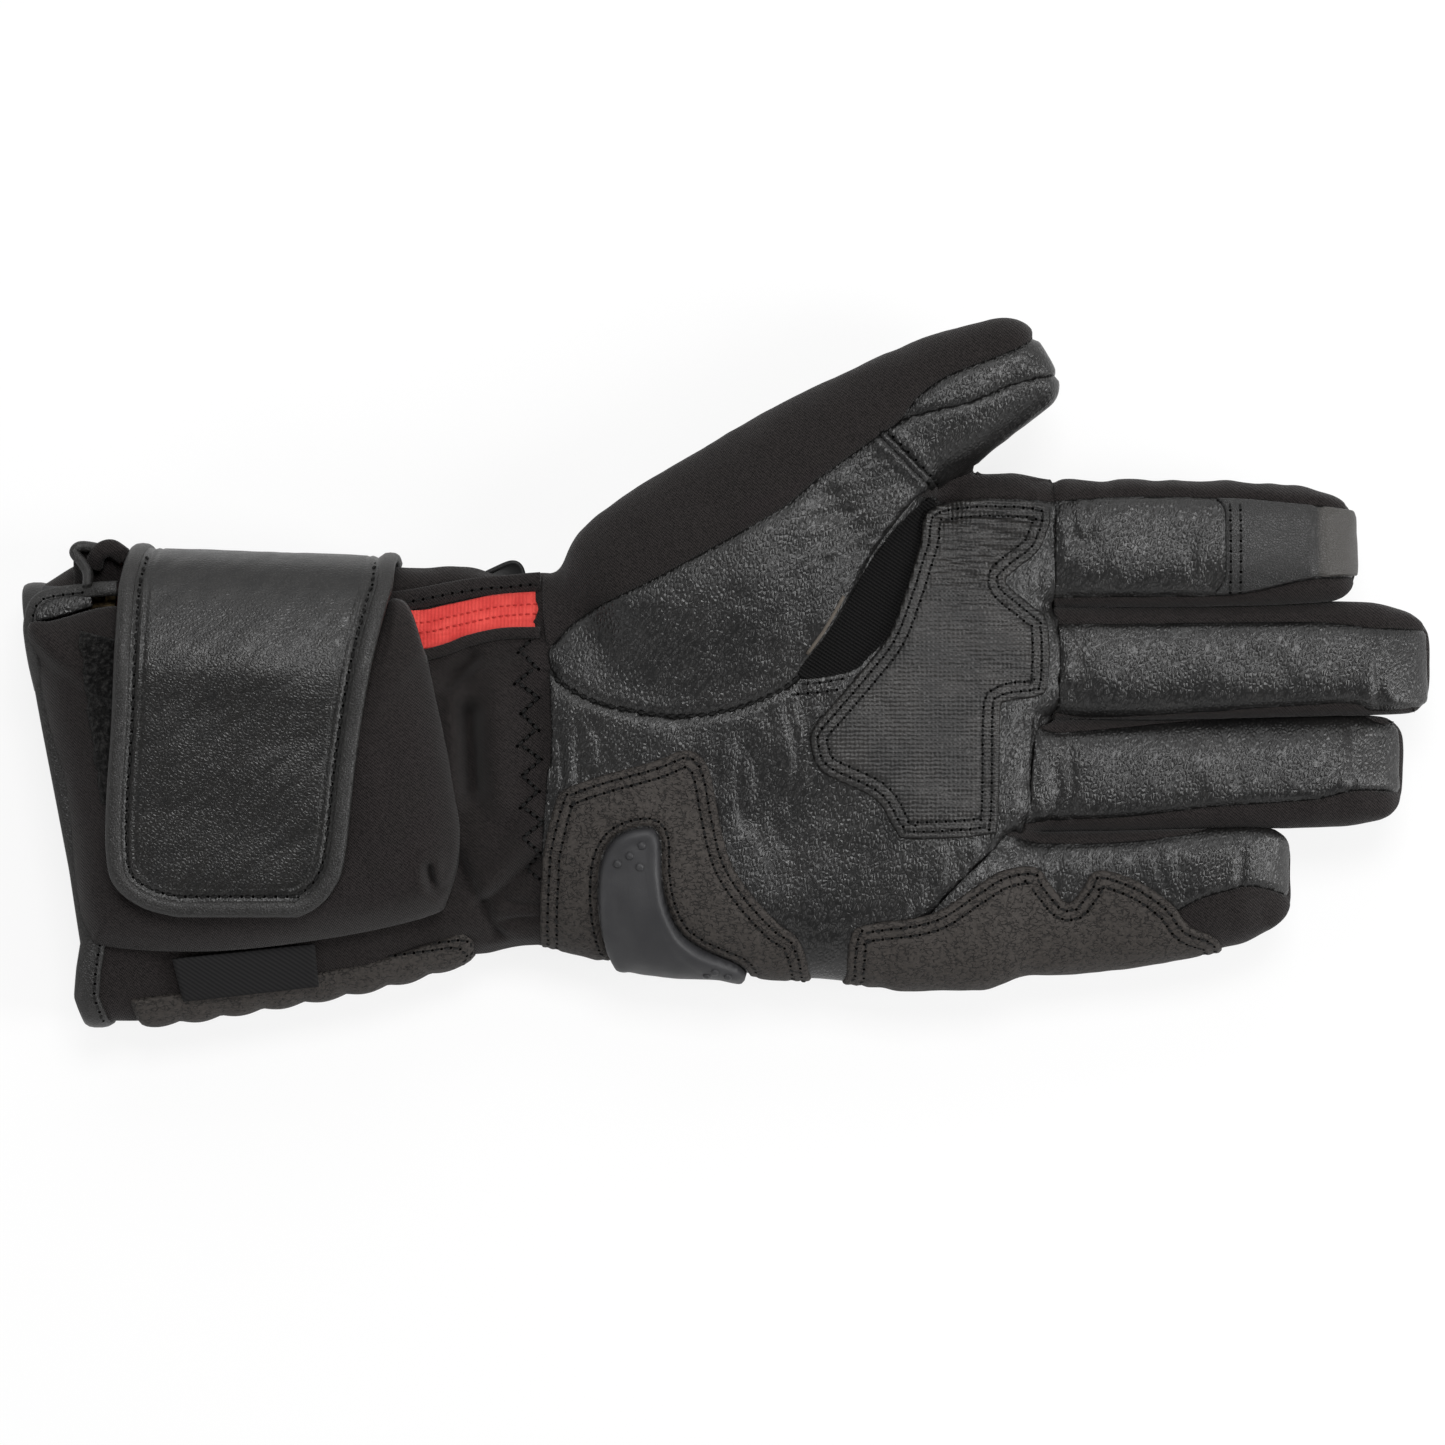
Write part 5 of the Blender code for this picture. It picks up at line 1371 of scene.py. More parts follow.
loop_fuzz = shader("loop_tape_fuzz", (0.006, 0.006, 0.006), 0.95, 0.05, Sheen_Weight=0.08, Sheen_Roughness=0.5)
curls = pattern(loop_fuzz, "Noise", 1000, detail=5, roughness=0.75)["Fac"]
relief(loop_fuzz, curls, 0.0008)
tint(loop_fuzz, levels(loop_fuzz, curls, 0.42, 0.72), (0.001, 0.001, 0.001), (0.04, 0.039, 0.038))
pocket_surface = surface_of((flat, pocket_faces))


def laid_sheet(corners, surface, lift, step=1.0, height=80):
    """A flat piece with four corners in plan, laid on a surface."""
    a, b, c, d = (np.array(corner, float) for corner in corners)
    rows = max(int(np.linalg.norm(d - a) / step), 3)
    columns = max(int(np.linalg.norm(b - a) / step), 3)
    points = np.zeros((rows, columns, 3))
    for r in range(rows):
        for k in range(columns):
            u, v = k / (columns - 1), r / (rows - 1)
            x, y = (a * (1 - u) + b * u) * (1 - v) + (d * (1 - u) + c * u) * v
            hit, _ = drop(surface, x, y, height)
            points[r, k] = (x, y, (hit.z if hit else points[r, max(k - 1, 0), 2]) + lift)
    return points


tape = laid_sheet(raised(px((78, 630), (190, 658), (212, 804), (99, 804)), 47), pocket_surface, 0.9, 1.0)
tape[:, 0, 0] += 0.8 * ripple(tape[:, 0], (2.2, 2.2, 2.2))
tape[..., 2] += 0.12 * ripple(tape.reshape(-1, 3), (0.8, 0.8, 0.8)).reshape(tape.shape[:2])
piece = grid_piece("loop_tape_fuzzy", tape, loop_fuzz, 1.0, flip=True)
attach(piece, "cuff")
stands_for(piece, "hook_and_loop", 0.2, "loop_tape")

battery_case = shader("battery_case", (0.02, 0.02, 0.022), 0.5, 0.4)
spark = pattern(battery_case, "Noise", 2500, detail=2)["Fac"]
relief(battery_case, spark, 0.0001)
tint(battery_case, spark, (0.015, 0.015, 0.017), (0.026, 0.026, 0.028))
BATTERY_LOW, BATTERY_HIGH = Vector((-133, -45.5, 34.8)) * MM, Vector((-79, -5, 45.4)) * MM
bpy.ops.object.select_all(action="DESELECT")
bpy.ops.mesh.primitive_cube_add(size=1, location=(0, 0, 0))
piece = bpy.context.object
piece.name = piece.data.name = "battery_pack_case"
bpy.ops.object.mode_set(mode="EDIT")
bpy.ops.mesh.select_all(action="SELECT")
bpy.ops.transform.resize(value=BATTERY_HIGH - BATTERY_LOW)
bpy.ops.transform.translate(value=(BATTERY_HIGH + BATTERY_LOW) / 2)
bpy.ops.mesh.bevel(offset=3 * MM, segments=4, affect="EDGES")
bpy.ops.object.mode_set(mode="OBJECT")
piece.data.materials.append(battery_case)
piece.data.shade_smooth()
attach(piece, "cuff")
stands_for(piece, "battery_case", None, "battery_pack")


# The flap: one leather sheet that is sewn to the thumb side of the cuff, comes up over the pocket
# and closes on the loop tape. Its three free edges are bound with piped leather and sewn through.
FLAP_PROFILE = curve([(29.0, 11.0), (29.5, 16.0), (29.8, 21.0), (29.7, 28), (28.8, 35), (26.4, 41.4), (22.4, 45.9),
                      (17.5, 48.8), (11.5, 50.8), (7, 51.9),
                      (4, 52.4), (1, 52.6), (-3, 52.5), (-8, 52.2), (-30, 51.4), (-43, 50.8), (-53.4, 50)], parts=8)
FLAP_SLANT = 0.036
FLAP_LEFT = px((125, 540), (119, 580), (118, 607), (114, 714), (108, 804), (108, 857), (116, 886), (143, 907),
               (179, 917))
FLAP_RIGHT = px((392, 540), (391, 575), (386, 595), (371, 661), (357, 750), (345, 857), (334, 888), (318, 906),
                (298, 917))
flap_left, flap_right = curve(raised(FLAP_LEFT, 49)), curve(raised(FLAP_RIGHT, 49))
run = np.concatenate([[0], np.cumsum(np.linalg.norm(np.diff(FLAP_PROFILE, axis=0), axis=1))])
at = np.linspace(0, run[-1], 190)
at = np.concatenate([at[:-1], np.linspace(at[-2], at[-1], 6)[1:]])
flap_y, flap_z = np.interp(at, run, FLAP_PROFILE[:, 0]), np.interp(at, run, FLAP_PROFILE[:, 1])
left = np.interp(-flap_y, -flap_left[:, 1], flap_left[:, 0])
right = np.interp(-flap_y, -flap_right[:, 1], flap_right[:, 0])
columns = 130
across = np.linspace(0, 1, columns)
flap = np.zeros((len(at), columns, 3))
flap[..., 0] = left[:, None] * (1 - across) + right[:, None] * across
flap[..., 1] = flap_y[:, None] - FLAP_SLANT * (flap[..., 0] + 137) * np.clip((flap_y + 40) / 45, 0, 1)[:, None]
flap[..., 2] = flap_z[:, None]
rise = 0.4 * ripple(flap.reshape(-1, 3), (17, 17, 30), 3.3).reshape(flap.shape[:2])
flap[..., 2] += rise + 0.5 * np.sin(across * math.pi)[None]
flap_normal = np.stack([np.zeros(len(at)), np.gradient(flap_z), -np.gradient(flap_y)], 1)
flap_normal /= np.linalg.norm(flap_normal, axis=1, keepdims=True)
at_edge = np.concatenate([[(left[0], -FAR)], np.stack([left, at], 1), np.stack([right, at], 1)[::-1],
                          [(right[0], -FAR)]])
from_edge = depth_in(at_edge, np.stack([flap[..., 0].ravel(), np.repeat(at, columns)], 1)).reshape(flap.shape[:2])
channel = furrow(from_edge - 4.5, 0.5, 0.6) + furrow(from_edge - 6.3, 0.35, 0.3)
drawn = flap.reshape(-1, 3) @ np.array([[0.8, -0.6, 0], [0.6, 0.8, 0], [0, 0, 1]])
channel -= 0.12 * creases(drawn, (26, 4.5, 40), 0.2, 5.5).reshape(flap.shape[:2])
flap += flap_normal[:, None] * channel[..., None]
flap_leather = shader("flap_leather", (0.011, 0.0107, 0.0104), 0.4, 0.42)
wander = pattern(flap_leather, "Noise", 300, detail=2)["Color"]
grain = pattern(flap_leather, "Voronoi", 1250, feature="DISTANCE_TO_EDGE", warp=(wander, 0.0008))["Distance"]
grain = levels(flap_leather, grain, 0.0, 0.34)
pull = pattern(flap_leather, "Noise", 420, (1, 0.35, 1), (0, 0, -0.7), detail=5)["Fac"]
veins = pattern(flap_leather, "Voronoi", 330, (1, 0.35, 1), (0, 0, -0.75), feature="DISTANCE_TO_EDGE",
                warp=(wander, 0.002))["Distance"]
veins = levels(flap_leather, veins, 0, 0.06)
relief(flap_leather, sum_of(flap_leather, sum_of(flap_leather, grain, pull, 0.5), veins, 0.5), 0.000045)
tint(flap_leather, sum_of(flap_leather, levels(flap_leather, pull, 0.3, 0.7, 0, 0.6), grain, 0.4),
     (0.004, 0.0039, 0.0038), (0.0135, 0.0128, 0.012))
gloss(flap_leather, pull, 0.42, 0.31)
piece = grid_piece("flap_leather_sheet", flap, flap_leather, 1.4, flip=True)
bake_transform(piece)
stands_for(piece, "grained_leather", 0.3, "flap_leather")

edge_path = np.concatenate([flap[:, 0], flap[-1, 1:-1], flap[::-1, -1]])
edge_out = np.concatenate([flap_normal, np.tile(flap_normal[-1], (columns - 2, 1)), flap_normal[::-1]])
keep = [0]
for n in range(1, len(edge_path)):
    if np.linalg.norm(edge_path[n] - edge_path[keep[-1]]) > 0.9:
        keep.append(n)
edge_path, edge_out = edge_path[keep], edge_out[keep]
inward = np.cross(np.gradient(edge_path, axis=0), edge_out)
inward /= np.linalg.norm(inward, axis=1, keepdims=True)
if np.sum((flap.reshape(-1, 3).mean(0) - edge_path) * inward) < 0:
    inward = -inward
binding_path = edge_path + inward * 1.7 - edge_out * 0.4
piece, _ = piping("flap_binding_piping", binding_path, edge_out, 1.9, 1.25, 12, smooth_leather)
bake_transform(piece)
stands_for(piece, "grained_leather", 0.5, "flap_binding")

flap_surface = surface_of((flap.reshape(-1, 3), grid_faces(*flap.shape[:2])))
seam_path = (edge_path + inward * 4.5)[2:-2]
piece = seam_of("flap_stitching", [seam_path], 2.5, flap_surface, length=1.9, radius=0.32, height=90, lift=0.12)
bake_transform(piece)

hook_mat = laid_sheet([(-128, -10), (-96, -10), (-98, -34), (-129, -34)], flap_surface, -2.2, 1.2, 90)
hook_mat[..., 2] -= 0.15 * ripple(hook_mat.reshape(-1, 3), (0.9, 0.9, 0.9)).reshape(hook_mat.shape[:2])
piece = grid_piece("hook_tape_pad", hook_mat, loop_fuzz, 0.8, flip=True)
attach(piece, "flap")
stands_for(piece, "hook_and_loop", 0.2, "hook_tape")


# The cuff zip: a red woven tape on the thumb side from the mouth to the wrist, with its nylon coil,
# a brass slider and a short black pull. The tape ends under the wrist seam.
ZIP_START = np.array([-149.0, 17.6, 32.2])
ZIP_END = np.array([-67.0, 11.4, 34.0])
ZIP_TILT = math.radians(18)
red_tape = shader("red_tape", (0.66, 0.052, 0.043), 0.7, 0.25, Sheen_Weight=0.1)
twill = pattern(red_tape, "Wave", 380, bands_direction="X", distortion=0.5)["Fac"]
pick = pattern(red_tape, "Wave", 300, bands_direction="Y", distortion=0.8)["Fac"]
wear = pattern(red_tape, "Noise", 260, detail=4)["Fac"]
relief(red_tape, sum_of(red_tape, twill, pick, 0.7), 0.00007)
tint(red_tape, sum_of(red_tape, levels(red_tape, wear, 0.2, 0.8, 0, 0.8), twill, 0.2), (0.56, 0.034, 0.03),
     (0.76, 0.08, 0.064))
TAPE_LINE = curve(px((122, 598), (160, 601), (220, 608), (330, 622), (413, 631), (456, 624), (498, 615), (538, 612),
                     (547, 612)), False, 10)
ahead = np.gradient(TAPE_LINE, axis=0)
ahead /= np.linalg.norm(ahead, axis=1, keepdims=True)
tape_side = np.stack([-ahead[:, 1], ahead[:, 0]], 1)
offsets = np.linspace(-4.2, 4.6, 25)
ribbon = np.zeros((len(TAPE_LINE), len(offsets), 3))
for r, (place, side) in enumerate(zip(TAPE_LINE, tape_side)):
    for k, offset in enumerate(offsets):
        x, y = place + side * offset
        hit, _ = drop(cuff_surface, x, y)
        ribbon[r, k] = (x, y, hit.z if hit else ribbon[r, max(k - 1, 0), 2])
ridge, groove = np.exp(-((offsets - 0.6) / 1.4) ** 2), np.exp(-((offsets + 2.2) / 0.4) ** 2)
ribbon[..., 2] += (0.7 + 0.4 * ridge - 0.3 * groove)[None]
ribbon[..., 2] -= 1.8 * np.clip((ribbon[..., 0] + 44.5) / 3, 0, 1)
piece = grid_piece("zip_tape_red", ribbon, red_tape, 0.7, flip=True)
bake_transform(piece)
stands_for(piece, "red_zip_tape", 0.2, "zip_tape")
tape_surface = surface_of((ribbon.reshape(-1, 3), grid_faces(*ribbon.shape[:2])))
points, faces = joined(stitches(even_steps((TAPE_LINE + tape_side * offset)[39:-2], 1.5, False), tape_surface,
                                length=1.3, radius=0.24, lift=0.05, hole=0) for offset in (1.7, -0.5))
red_thread = shader("red_thread", (0.44, 0.03, 0.026), 0.7, 0.2)
tint(red_thread, pattern(red_thread, "Noise", 1500)["Fac"], (0.36, 0.02, 0.018), (0.52, 0.04, 0.034))
piece = piece_of("zip_tape_rows", np.array(points), faces, red_thread, 0)
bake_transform(piece)
LIP_LINE = curve(px((386, 604), (408, 601), (438, 595), (470, 587), (503, 582), (541, 582)), False, 8)
lip = [cuff_surface.find_nearest(Vector((x, y, 29 - 0.5 * max(y - 18, 0)))) for x, y in LIP_LINE]
lip = np.array([place + up * 0.8 for place, up, _, _ in lip])
piece, lip_skin = piping("zip_lip_fabric", lip, (0, 0.35, 1.0), 2.3, 1.7, 14, softshell)
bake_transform(piece)
low_line = curve(px((424, 656), (440, 652), (455, 647), (470, 641), (503, 634), (541, 633)), False, 8)
low_lip = np.array([drop(cuff_surface, x, y)[0] + Vector((0, 0, 0.9)) for x, y in low_line])
piece, _ = piping("zip_lower_lip_fabric", low_lip, UPWARD, 1.3, 0.9, 12, softshell)
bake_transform(piece)
piece = seam_of("zip_lip_stitching", [lip[:, :2] + [0, -0.5]], LONG_PITCH, surface_of(lip_skin),
                length=1.7, radius=0.24, lift=0.05)
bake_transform(piece)

zip_way = (ZIP_END - ZIP_START) / np.linalg.norm(ZIP_END - ZIP_START)
zip_side = np.cross([0, 0, 1], zip_way)
zip_side = zip_side / np.linalg.norm(zip_side)
zip_up = np.cross(zip_way, zip_side)
zip_side, zip_up = (zip_side * math.cos(ZIP_TILT) - zip_up * math.sin(ZIP_TILT),
                    zip_up * math.cos(ZIP_TILT) + zip_side * math.sin(ZIP_TILT))
coil_finish = shader("zip_coil_nylon", (0.45, 0.04, 0.035), 0.4, 0.4)
tint(coil_finish, pattern(coil_finish, "Noise", 700)["Fac"], (0.36, 0.025, 0.022), (0.52, 0.055, 0.045))
TOOTH_COUNT, TOOTH_PITCH = 52, 1.5
tooth, rings = strand(3.6, 0.5, 5, 4)
tooth = tooth @ np.array([zip_side, zip_way, zip_up])
points, faces = joined((tooth + ZIP_START + zip_way * (1 + n * TOOTH_PITCH) - zip_up, rings)
                       for n in range(TOOTH_COUNT))
piece = closed_piece("zip_chain_coil", np.array(points), faces, coil_finish)
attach(piece, "cuff")
stands_for(piece, "zip_coil", None, "zip_chain")

# The brass is tinted almost black: painted shade for the dark slot that the slider sits in, with noise for tarnish.
zip_brass = shader("zip_brass", (0.2, 0.15, 0.075), 0.4, 0.5, Metallic=1.0)
tarnish_and_shade = pattern(zip_brass, "Noise", 900, detail=4)["Fac"]
tint(zip_brass, levels(zip_brass, tarnish_and_shade, 0.35, 0.7), (0.004, 0.003, 0.002), (0.026, 0.019, 0.01))
gloss(zip_brass, tarnish_and_shade, 0.55, 0.35)
moulded = shader("moulded_rubber", (0.032, 0.032, 0.034), 0.5, 0.35)
speck = pattern(moulded, "Noise", 3000, detail=2)["Fac"]
rub = pattern(moulded, "Noise", 120, detail=4)["Fac"]
relief(moulded, speck, 0.00004)
tint(moulded, levels(moulded, rub, 0.3, 0.75), (0.027, 0.027, 0.029), (0.04, 0.04, 0.042))
gloss(moulded, rub, 0.58, 0.42)


def block(centre, size, bevel, narrow=0.0):
    """A bevelled block in the zip's own axes, narrower at its tail."""
    bpy.ops.object.select_all(action="DESELECT")
    bpy.ops.mesh.primitive_cube_add(size=1, location=(0, 0, 0))
    made = bpy.context.object
    bpy.ops.object.mode_set(mode="EDIT")
    bpy.ops.transform.resize(value=size)
    bpy.ops.mesh.select_all(action="SELECT")
    bpy.ops.mesh.bevel(offset=bevel, segments=3, affect="EDGES")
    bpy.ops.object.mode_set(mode="OBJECT")
    for vertex in made.data.vertices:
        if vertex.co.x < 0:
            vertex.co.y *= 1 - narrow * min(-vertex.co.x / (size[0] / 2), 1)
    made.data.transform(Matrix.Translation(centre))
    return made


def ring_of(centre, radius, thick, upright):
    bpy.ops.object.select_all(action="DESELECT")
    bpy.ops.mesh.primitive_torus_add(major_radius=radius, minor_radius=thick, major_segments=24, minor_segments=8)
    made = bpy.context.object
    turn = Matrix.Rotation(math.pi / 2 if upright else 0, 4, "X")
    made.data.transform(Matrix.Translation(centre) @ turn)
    return made


def zip_part(name, parts, finish, place):
    bpy.ops.object.select_all(action="DESELECT")
    for part in parts:
        part.select_set(True)
    bpy.context.view_layer.objects.active = parts[0]
    bpy.ops.object.join()
    made = bpy.context.object
    made.name = name
    made.data.name = name
    for vertex in made.data.vertices:
        x, y, z = vertex.co
        vertex.co = (place + zip_way * x + zip_side * y + zip_up * z) * MM
    made.data.materials.clear()
    made.data.materials.append(finish)
    made.data.shade_smooth()
    return made


seat = ZIP_START + zip_way * 7
piece = zip_part("zip_slider_brass", [block((0, 0, 2.3), (9.5, 7.4, 1.1), 0.45, 0.3),
                                      block((0, 0, -1.6), (9.5, 7.4, 0.9), 0.4, 0.3),
                                      block((-.4, 3.1, 0.4), (8, 0.9, 3.4), 0.3),
                                      block((-.4, -3.1, 0.4), (8, 0.9, 3.4), 0.3),
                                      block((3.6, 0, 0.4), (2, 2.2, 3.2), 0.4),
                                      ring_of((0, 0, 2.9), 1.7, 0.5, True)], zip_brass, seat)
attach(piece, "zip")
stands_for(piece, "zip_brass", None, "zip_slider")
piece = zip_part("zip_puller_tab", [ring_of((-2.6, 0, 3.1), 1.7, 0.45, False),
                                    block((-8.5, 0, 2.5), (8.0, 4.4, 1.4), 0.6, 0.15)], moulded, seat)
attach(piece, "zip")
stands_for(piece, "moulded", None, "zip_puller")


# The heel slider: a hard moulded shell sewn into a window of the heel patch, with a rounded rim,
# a shallow sunk face and small dots at both ends.
SLIDER_DOTS = px((643, 844), (631, 854), (619, 862), (641, 865), (715, 971), (707, 975), (728, 976))
SLIDER_LIFT = 2.6


def slider_shape(points, inside):
    sunk = -0.35 / (1 + np.exp(-(inside - 2.6) / 0.2))
    return 0.9 * np.clip(inside / 9, 0, 1) + sunk


piece, patches["heel_slider"] = patch_of("heel_slider_shell", hand_field, SLIDER_EDGE, 12, 48, SLIDER_LIFT, moulded,
                                         slider_shape, 1.3)
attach(piece, "hand")
stands_for(piece, "moulded", None, "heel_slider")
slider_surface = surface_of(patches["heel_slider"])
DOT_PROFILE = ((0.95, -0.4), (0.95, 0.2), (0.78, 0.45), (0.4, 0.58))
DOT_SIDES = 12
dot_faces = grid_faces(len(DOT_PROFILE), DOT_SIDES, True)
top = (len(DOT_PROFILE) - 1) * DOT_SIDES
dot_faces += [[top + k for k in range(DOT_SIDES)], list(range(DOT_SIDES))[::-1]]
dots = []
for x, y in SLIDER_DOTS:
    hit, up = drop(slider_surface, x, y, 70)
    if hit is None:
        continue
    side = up.cross(Vector((1, 0, 0))).normalized()
    axes = np.array([side, up.cross(side), up])
    turns = [2 * math.pi * k / DOT_SIDES for k in range(DOT_SIDES)]
    dot = np.array([(radius * math.cos(a), radius * math.sin(a), height) for radius, height in DOT_PROFILE
                    for a in turns])
    dots.append((dot @ axes + np.array(hit), dot_faces))
points, faces = joined(dots)
piece = closed_piece("heel_slider_dots", np.array(points), faces, moulded)
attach(piece, "hand")
slider_row = inset(curve(SLIDER_EDGE, True, 6), -1.9)
piece = seam_of("slider_stitching", [slider_row], STITCH_PITCH, heel_surface, closed=True)
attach(piece, "hand")


# The cuff's outer edge: a suede guard with accordion pleats, and a plain woven label over it.
GUARD_ENDS = (-141, -57.5)
GUARD_SIDES = (146, 204)
PLEAT_PITCH = 10.4
guard = sleeve_grid(*GUARD_ENDS, *map(math.radians, GUARD_SIDES), 0.0, 0.3)
rows, columns = guard.shape[:2]
x = np.linspace(*GUARD_ENDS, rows)[:, None]
turn = np.linspace(*GUARD_SIDES, columns)[None]
end_round = -GUARD_ENDS[1] + 4 * np.clip((156 - turn) / 10, 0, 1) ** 2
guard[..., 0] = np.minimum(guard[..., 0], guard[..., 0] - np.clip(x + end_round, 0, 5))
edge_depth = np.minimum(np.minimum(x - GUARD_ENDS[0], -end_round - x) / 1.5,
                        np.minimum(turn - GUARD_SIDES[0], GUARD_SIDES[1] - turn) / 2)
pleat = np.abs(np.sin((x - GUARD_ENDS[0]) * math.pi / PLEAT_PITCH)) * np.clip((turn - 152) / 16, 0, 1)
_, out = sleeve(np.broadcast_to(x, (rows, columns)), np.broadcast_to(np.radians(turn), (rows, columns)))
guard = guard + out * (1.0 * np.clip(edge_depth, 0, 1) ** 0.5 + 0.9 * pleat)[..., None]
piece = grid_piece("cuff_edge_guard_suede", guard, suede, 1.0)
guard_surface = surface_of((guard.reshape(-1, 3), grid_faces(rows, columns)))
end_line = curve(px((330, 957), (380, 949), (440, 940), (462, 938), (472, 944), (470, 956)), False, 6)
guard_rows = [end_line + [0, -0.5], end_line + [-1.6, -2.2]]
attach(seam_of("edge_guard_stitching", guard_rows, STITCH_PITCH, guard_surface), "cuff")
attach(piece, "cuff")
stands_for(piece, "abrasion_suede", 0.4, "cuff_edge_guard")

label = np.zeros((12, 34, 3))
for n, (height, corner) in enumerate(((33.6, (176, 958)), (32.8, (317, 943)), (28.6, (320, 986)),
                                      (28.8, (185, 1001)))):
    u, v = (0, 1, 1, 0)[n], (0, 0, 1, 1)[n]
    share = (np.linspace(1 - u, u, 34)[None] * np.linspace(1 - v, v, 12)[:, None])[..., None]
    label += share * np.array([*px(corner)[0], height])
label[..., 2] += 0.4 * np.sin(np.linspace(0, 5, 34))[None]
piece = grid_piece("side_label_woven", label, woven_tape, 0.6, flip=True)
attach(piece, "cuff")
stands_for(piece, "woven", 0.1, "side_label")


# Behind the flap: the leather strip that anchors it along the thumb side, with a bound corner
# that folds out at the mouth end.
ANCHOR_ENDS, ANCHOR_SIDES = (-142, -82), (math.radians(-22), math.radians(38))
anchor = sleeve_grid(*ANCHOR_ENDS, *ANCHOR_SIDES, 0.9, 0.3)
piece = grid_piece("flap_anchor_strip", anchor, smooth_leather, 1.0)
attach(piece, "cuff")
stands_for(piece, "grained_leather", 0.3, "flap_anchor")
fold_line = curve(lifted((122, 560, 32), (106, 551, 34), (90, 547, 35), (79, 547, 35.6), (75, 553, 36),
                         (82, 562, 36.8), (88, 573, 38),
                         (88, 588, 39.4)), False, 8)
piece, _ = piping("flap_anchor_fold", fold_line, UPWARD, 1.25, 1.9, 12, smooth_leather)
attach(piece, "cuff")
arch = curve(lifted((94, 566, 34), (99, 553, 35.5), (111, 548, 35.5), (124, 556, 34)), False, 8)
piece, _ = piping("flap_anchor_arch", arch, UPWARD, 2.0, 2.0, 10, softshell)
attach(piece, "cuff")
web_top = fold_line[:46] + [0.4, -0.4, -0.6]
web_foot = np.array([cuff_surface.find_nearest(Vector((x, 16, 22)))[0] for x, y, z in web_top])
web = np.stack([web_foot * (1 - t) + web_top * t for t in np.linspace(0, 1, 10)], 1)
piece = grid_piece("flap_anchor_web", web, softshell, 0.8)
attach(piece, "cuff")


# The bound corner of the mouth beside the zip: the binding turns the corner and a leather facing
# covers the parked zip slider.
corner_path = curve(lifted((42, 690, 31), (36, 664, 35.5), (32, 640, 38.4), (31, 624, 39.2), (35, 607, 39.2),
                           (44, 598, 38.8),
                           (60, 594, 38.5), (84, 591, 38.9), (100, 589, 40), (118, 588, 40)), False, 8)
piece, corner_skin = piping("mouth_corner_binding", corner_path, (-0.3, 0.3, 1.0), 1.8, 1.1, 12, smooth_leather)
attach(piece, "cuff")
skirt_foot = np.array([cuff_surface.find_nearest(Vector((x + 1, y, 31)))[0] for x, y, z in corner_path[:36]])
skirt_top = corner_path[:36] + [0.4, -0.2, -0.4]
skirt = np.stack([skirt_top * (1 - t) + skirt_foot * t for t in np.linspace(0, 1, 8)], 1)
piece = grid_piece("mouth_corner_wall", skirt, softshell, 0.7)
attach(piece, "cuff")
corner_stitches = corner_path[18:57, :2] + (np.array(px((80, 625))[0]) - corner_path[18:57, :2]) * 0.05
piece = seam_of("mouth_corner_stitching", [corner_stitches], LONG_PITCH, surface_of(corner_skin), length=1.7,
                radius=0.24)
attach(piece, "cuff")
inner = curve(lifted((37, 621, 39.9), (60, 616, 39.8), (93, 606, 39.6)), False, 12)
outer = curve(lifted((38, 604, 38.7), (60, 595, 38.5), (91, 591, 38.5)), False, 12)
facing_sheet = np.stack([inner * (1 - t) + outer * t + [0, 0, 0.5 * math.sin(math.pi * t)]
                         for t in np.linspace(0, 1, 12)], 1)
piece = grid_piece("mouth_corner_facing", facing_sheet, grained_leather, 0.7)
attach(piece, "cuff")


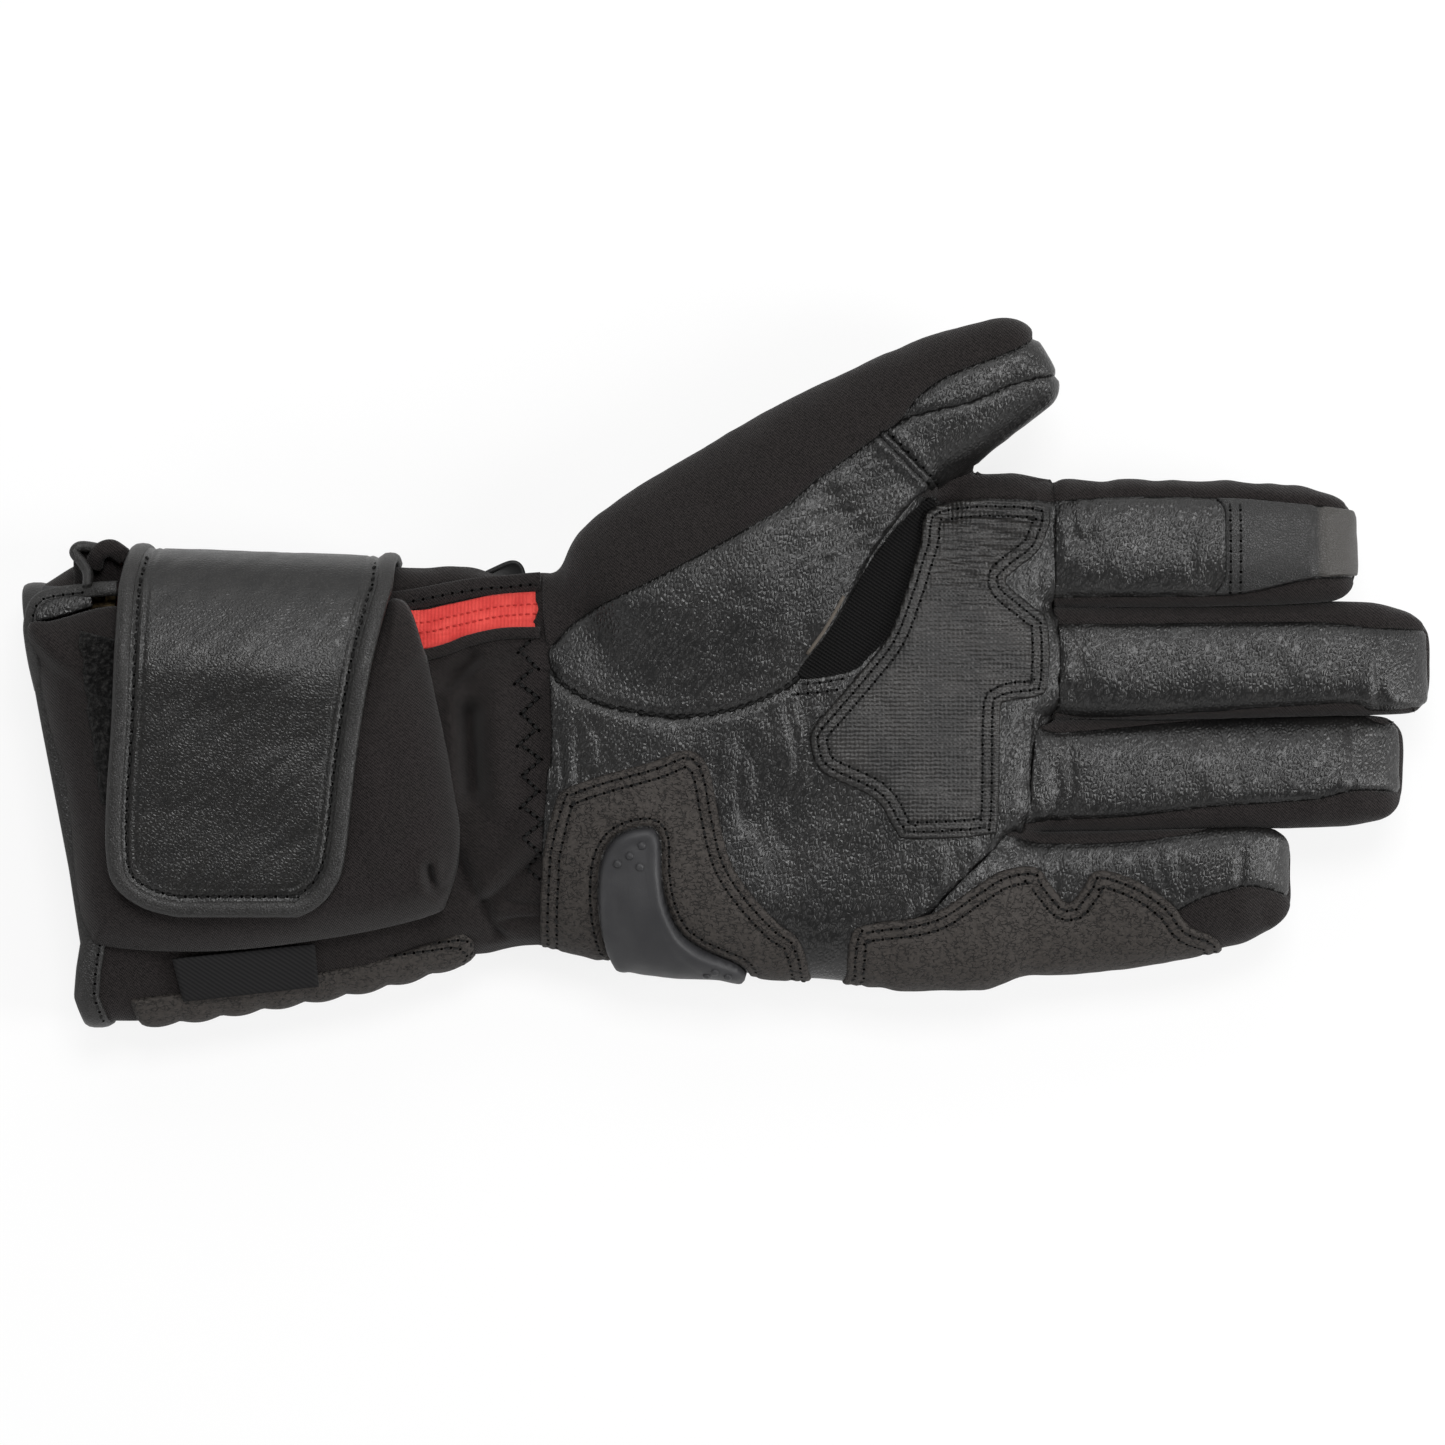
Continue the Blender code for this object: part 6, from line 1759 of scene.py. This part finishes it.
# The wrist strap's moulded pull tab, which stands out at the thumb side.
TAB_EDGE = px((474, 580), (480, 572), (491, 566), (508, 559), (518, 561), (523, 570), (523, 582), (500, 586))
TAB_HEIGHTS = (10.8, 14.2)
outline_points = curve(TAB_EDGE, True, 5)
bpy.ops.object.select_all(action="DESELECT")
bpy.ops.mesh.primitive_circle_add(vertices=len(outline_points), radius=1, fill_type="NGON")
piece = bpy.context.object
piece.name = piece.data.name = "strap_tab_moulded"
for vertex, (x, y) in zip(piece.data.vertices, outline_points):
    vertex.co = (x * MM, y * MM, TAB_HEIGHTS[0] * MM)
bpy.ops.object.mode_set(mode="EDIT")
bpy.ops.mesh.select_all(action="SELECT")
bpy.ops.mesh.extrude_region_move(TRANSFORM_OT_translate={"value": (0, 0, (TAB_HEIGHTS[1] - TAB_HEIGHTS[0]) * MM)})
bpy.ops.mesh.inset(thickness=0.8 * MM, depth=0.4 * MM)
bpy.ops.mesh.select_all(action="SELECT")
bpy.ops.mesh.normals_make_consistent(inside=False)
bpy.ops.object.mode_set(mode="OBJECT")
black_rubber = shader("black_rubber", (0.006, 0.006, 0.0062), 0.5, 0.3)
relief(black_rubber, pattern(black_rubber, "Noise", 2500, detail=2)["Fac"], 0.00004)
piece.data.materials.append(black_rubber)
piece.data.shade_smooth()
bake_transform(piece)
stands_for(piece, "moulded", None, "strap_tab")


# The knuckle guard: a moulded plate on the back of the hand with a rise over each knuckle.
KNUCKLES = [(52, 29), (54, 3.5), (53, -22), (47, -48)]
GUARD_EDGE = [(38, -54), (46, -56), (54, -56), (59, -52), (61, -40), (64, -32), (66, -20), (66, -4), (66, 12),
              (65, 26), (61, 33), (52, 35), (42, 33), (38, 24), (36, 8), (35, -10), (35, -30), (36, -44)]


def guard_shape(points, inside):
    """A smooth plate with a rise over each knuckle and a groove inside its rim."""
    rise = sum(np.exp(-((points[:, 0] - x) / 8) ** 2 - ((points[:, 1] - y) / 8) ** 2) for x, y in KNUCKLES)
    smooth = -0.35 * ripple(points, (9, 9, 9)) - 0.15 * ripple(points, (4, 4, 4), 7.3)
    return rise * np.clip(inside / 6, 0, 1) + smooth + furrow(inside - 2.6, 0.9, 0.5)


piece, _ = patch_of("knuckle_guard_plate", hand_field, GUARD_EDGE, -4, 14, 1.6, moulded, guard_shape, 1.3,
                    lambda points: 12 - points[:, 2])
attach(piece, "hand")
stands_for(piece, "moulded", None, "knuckle_guard")
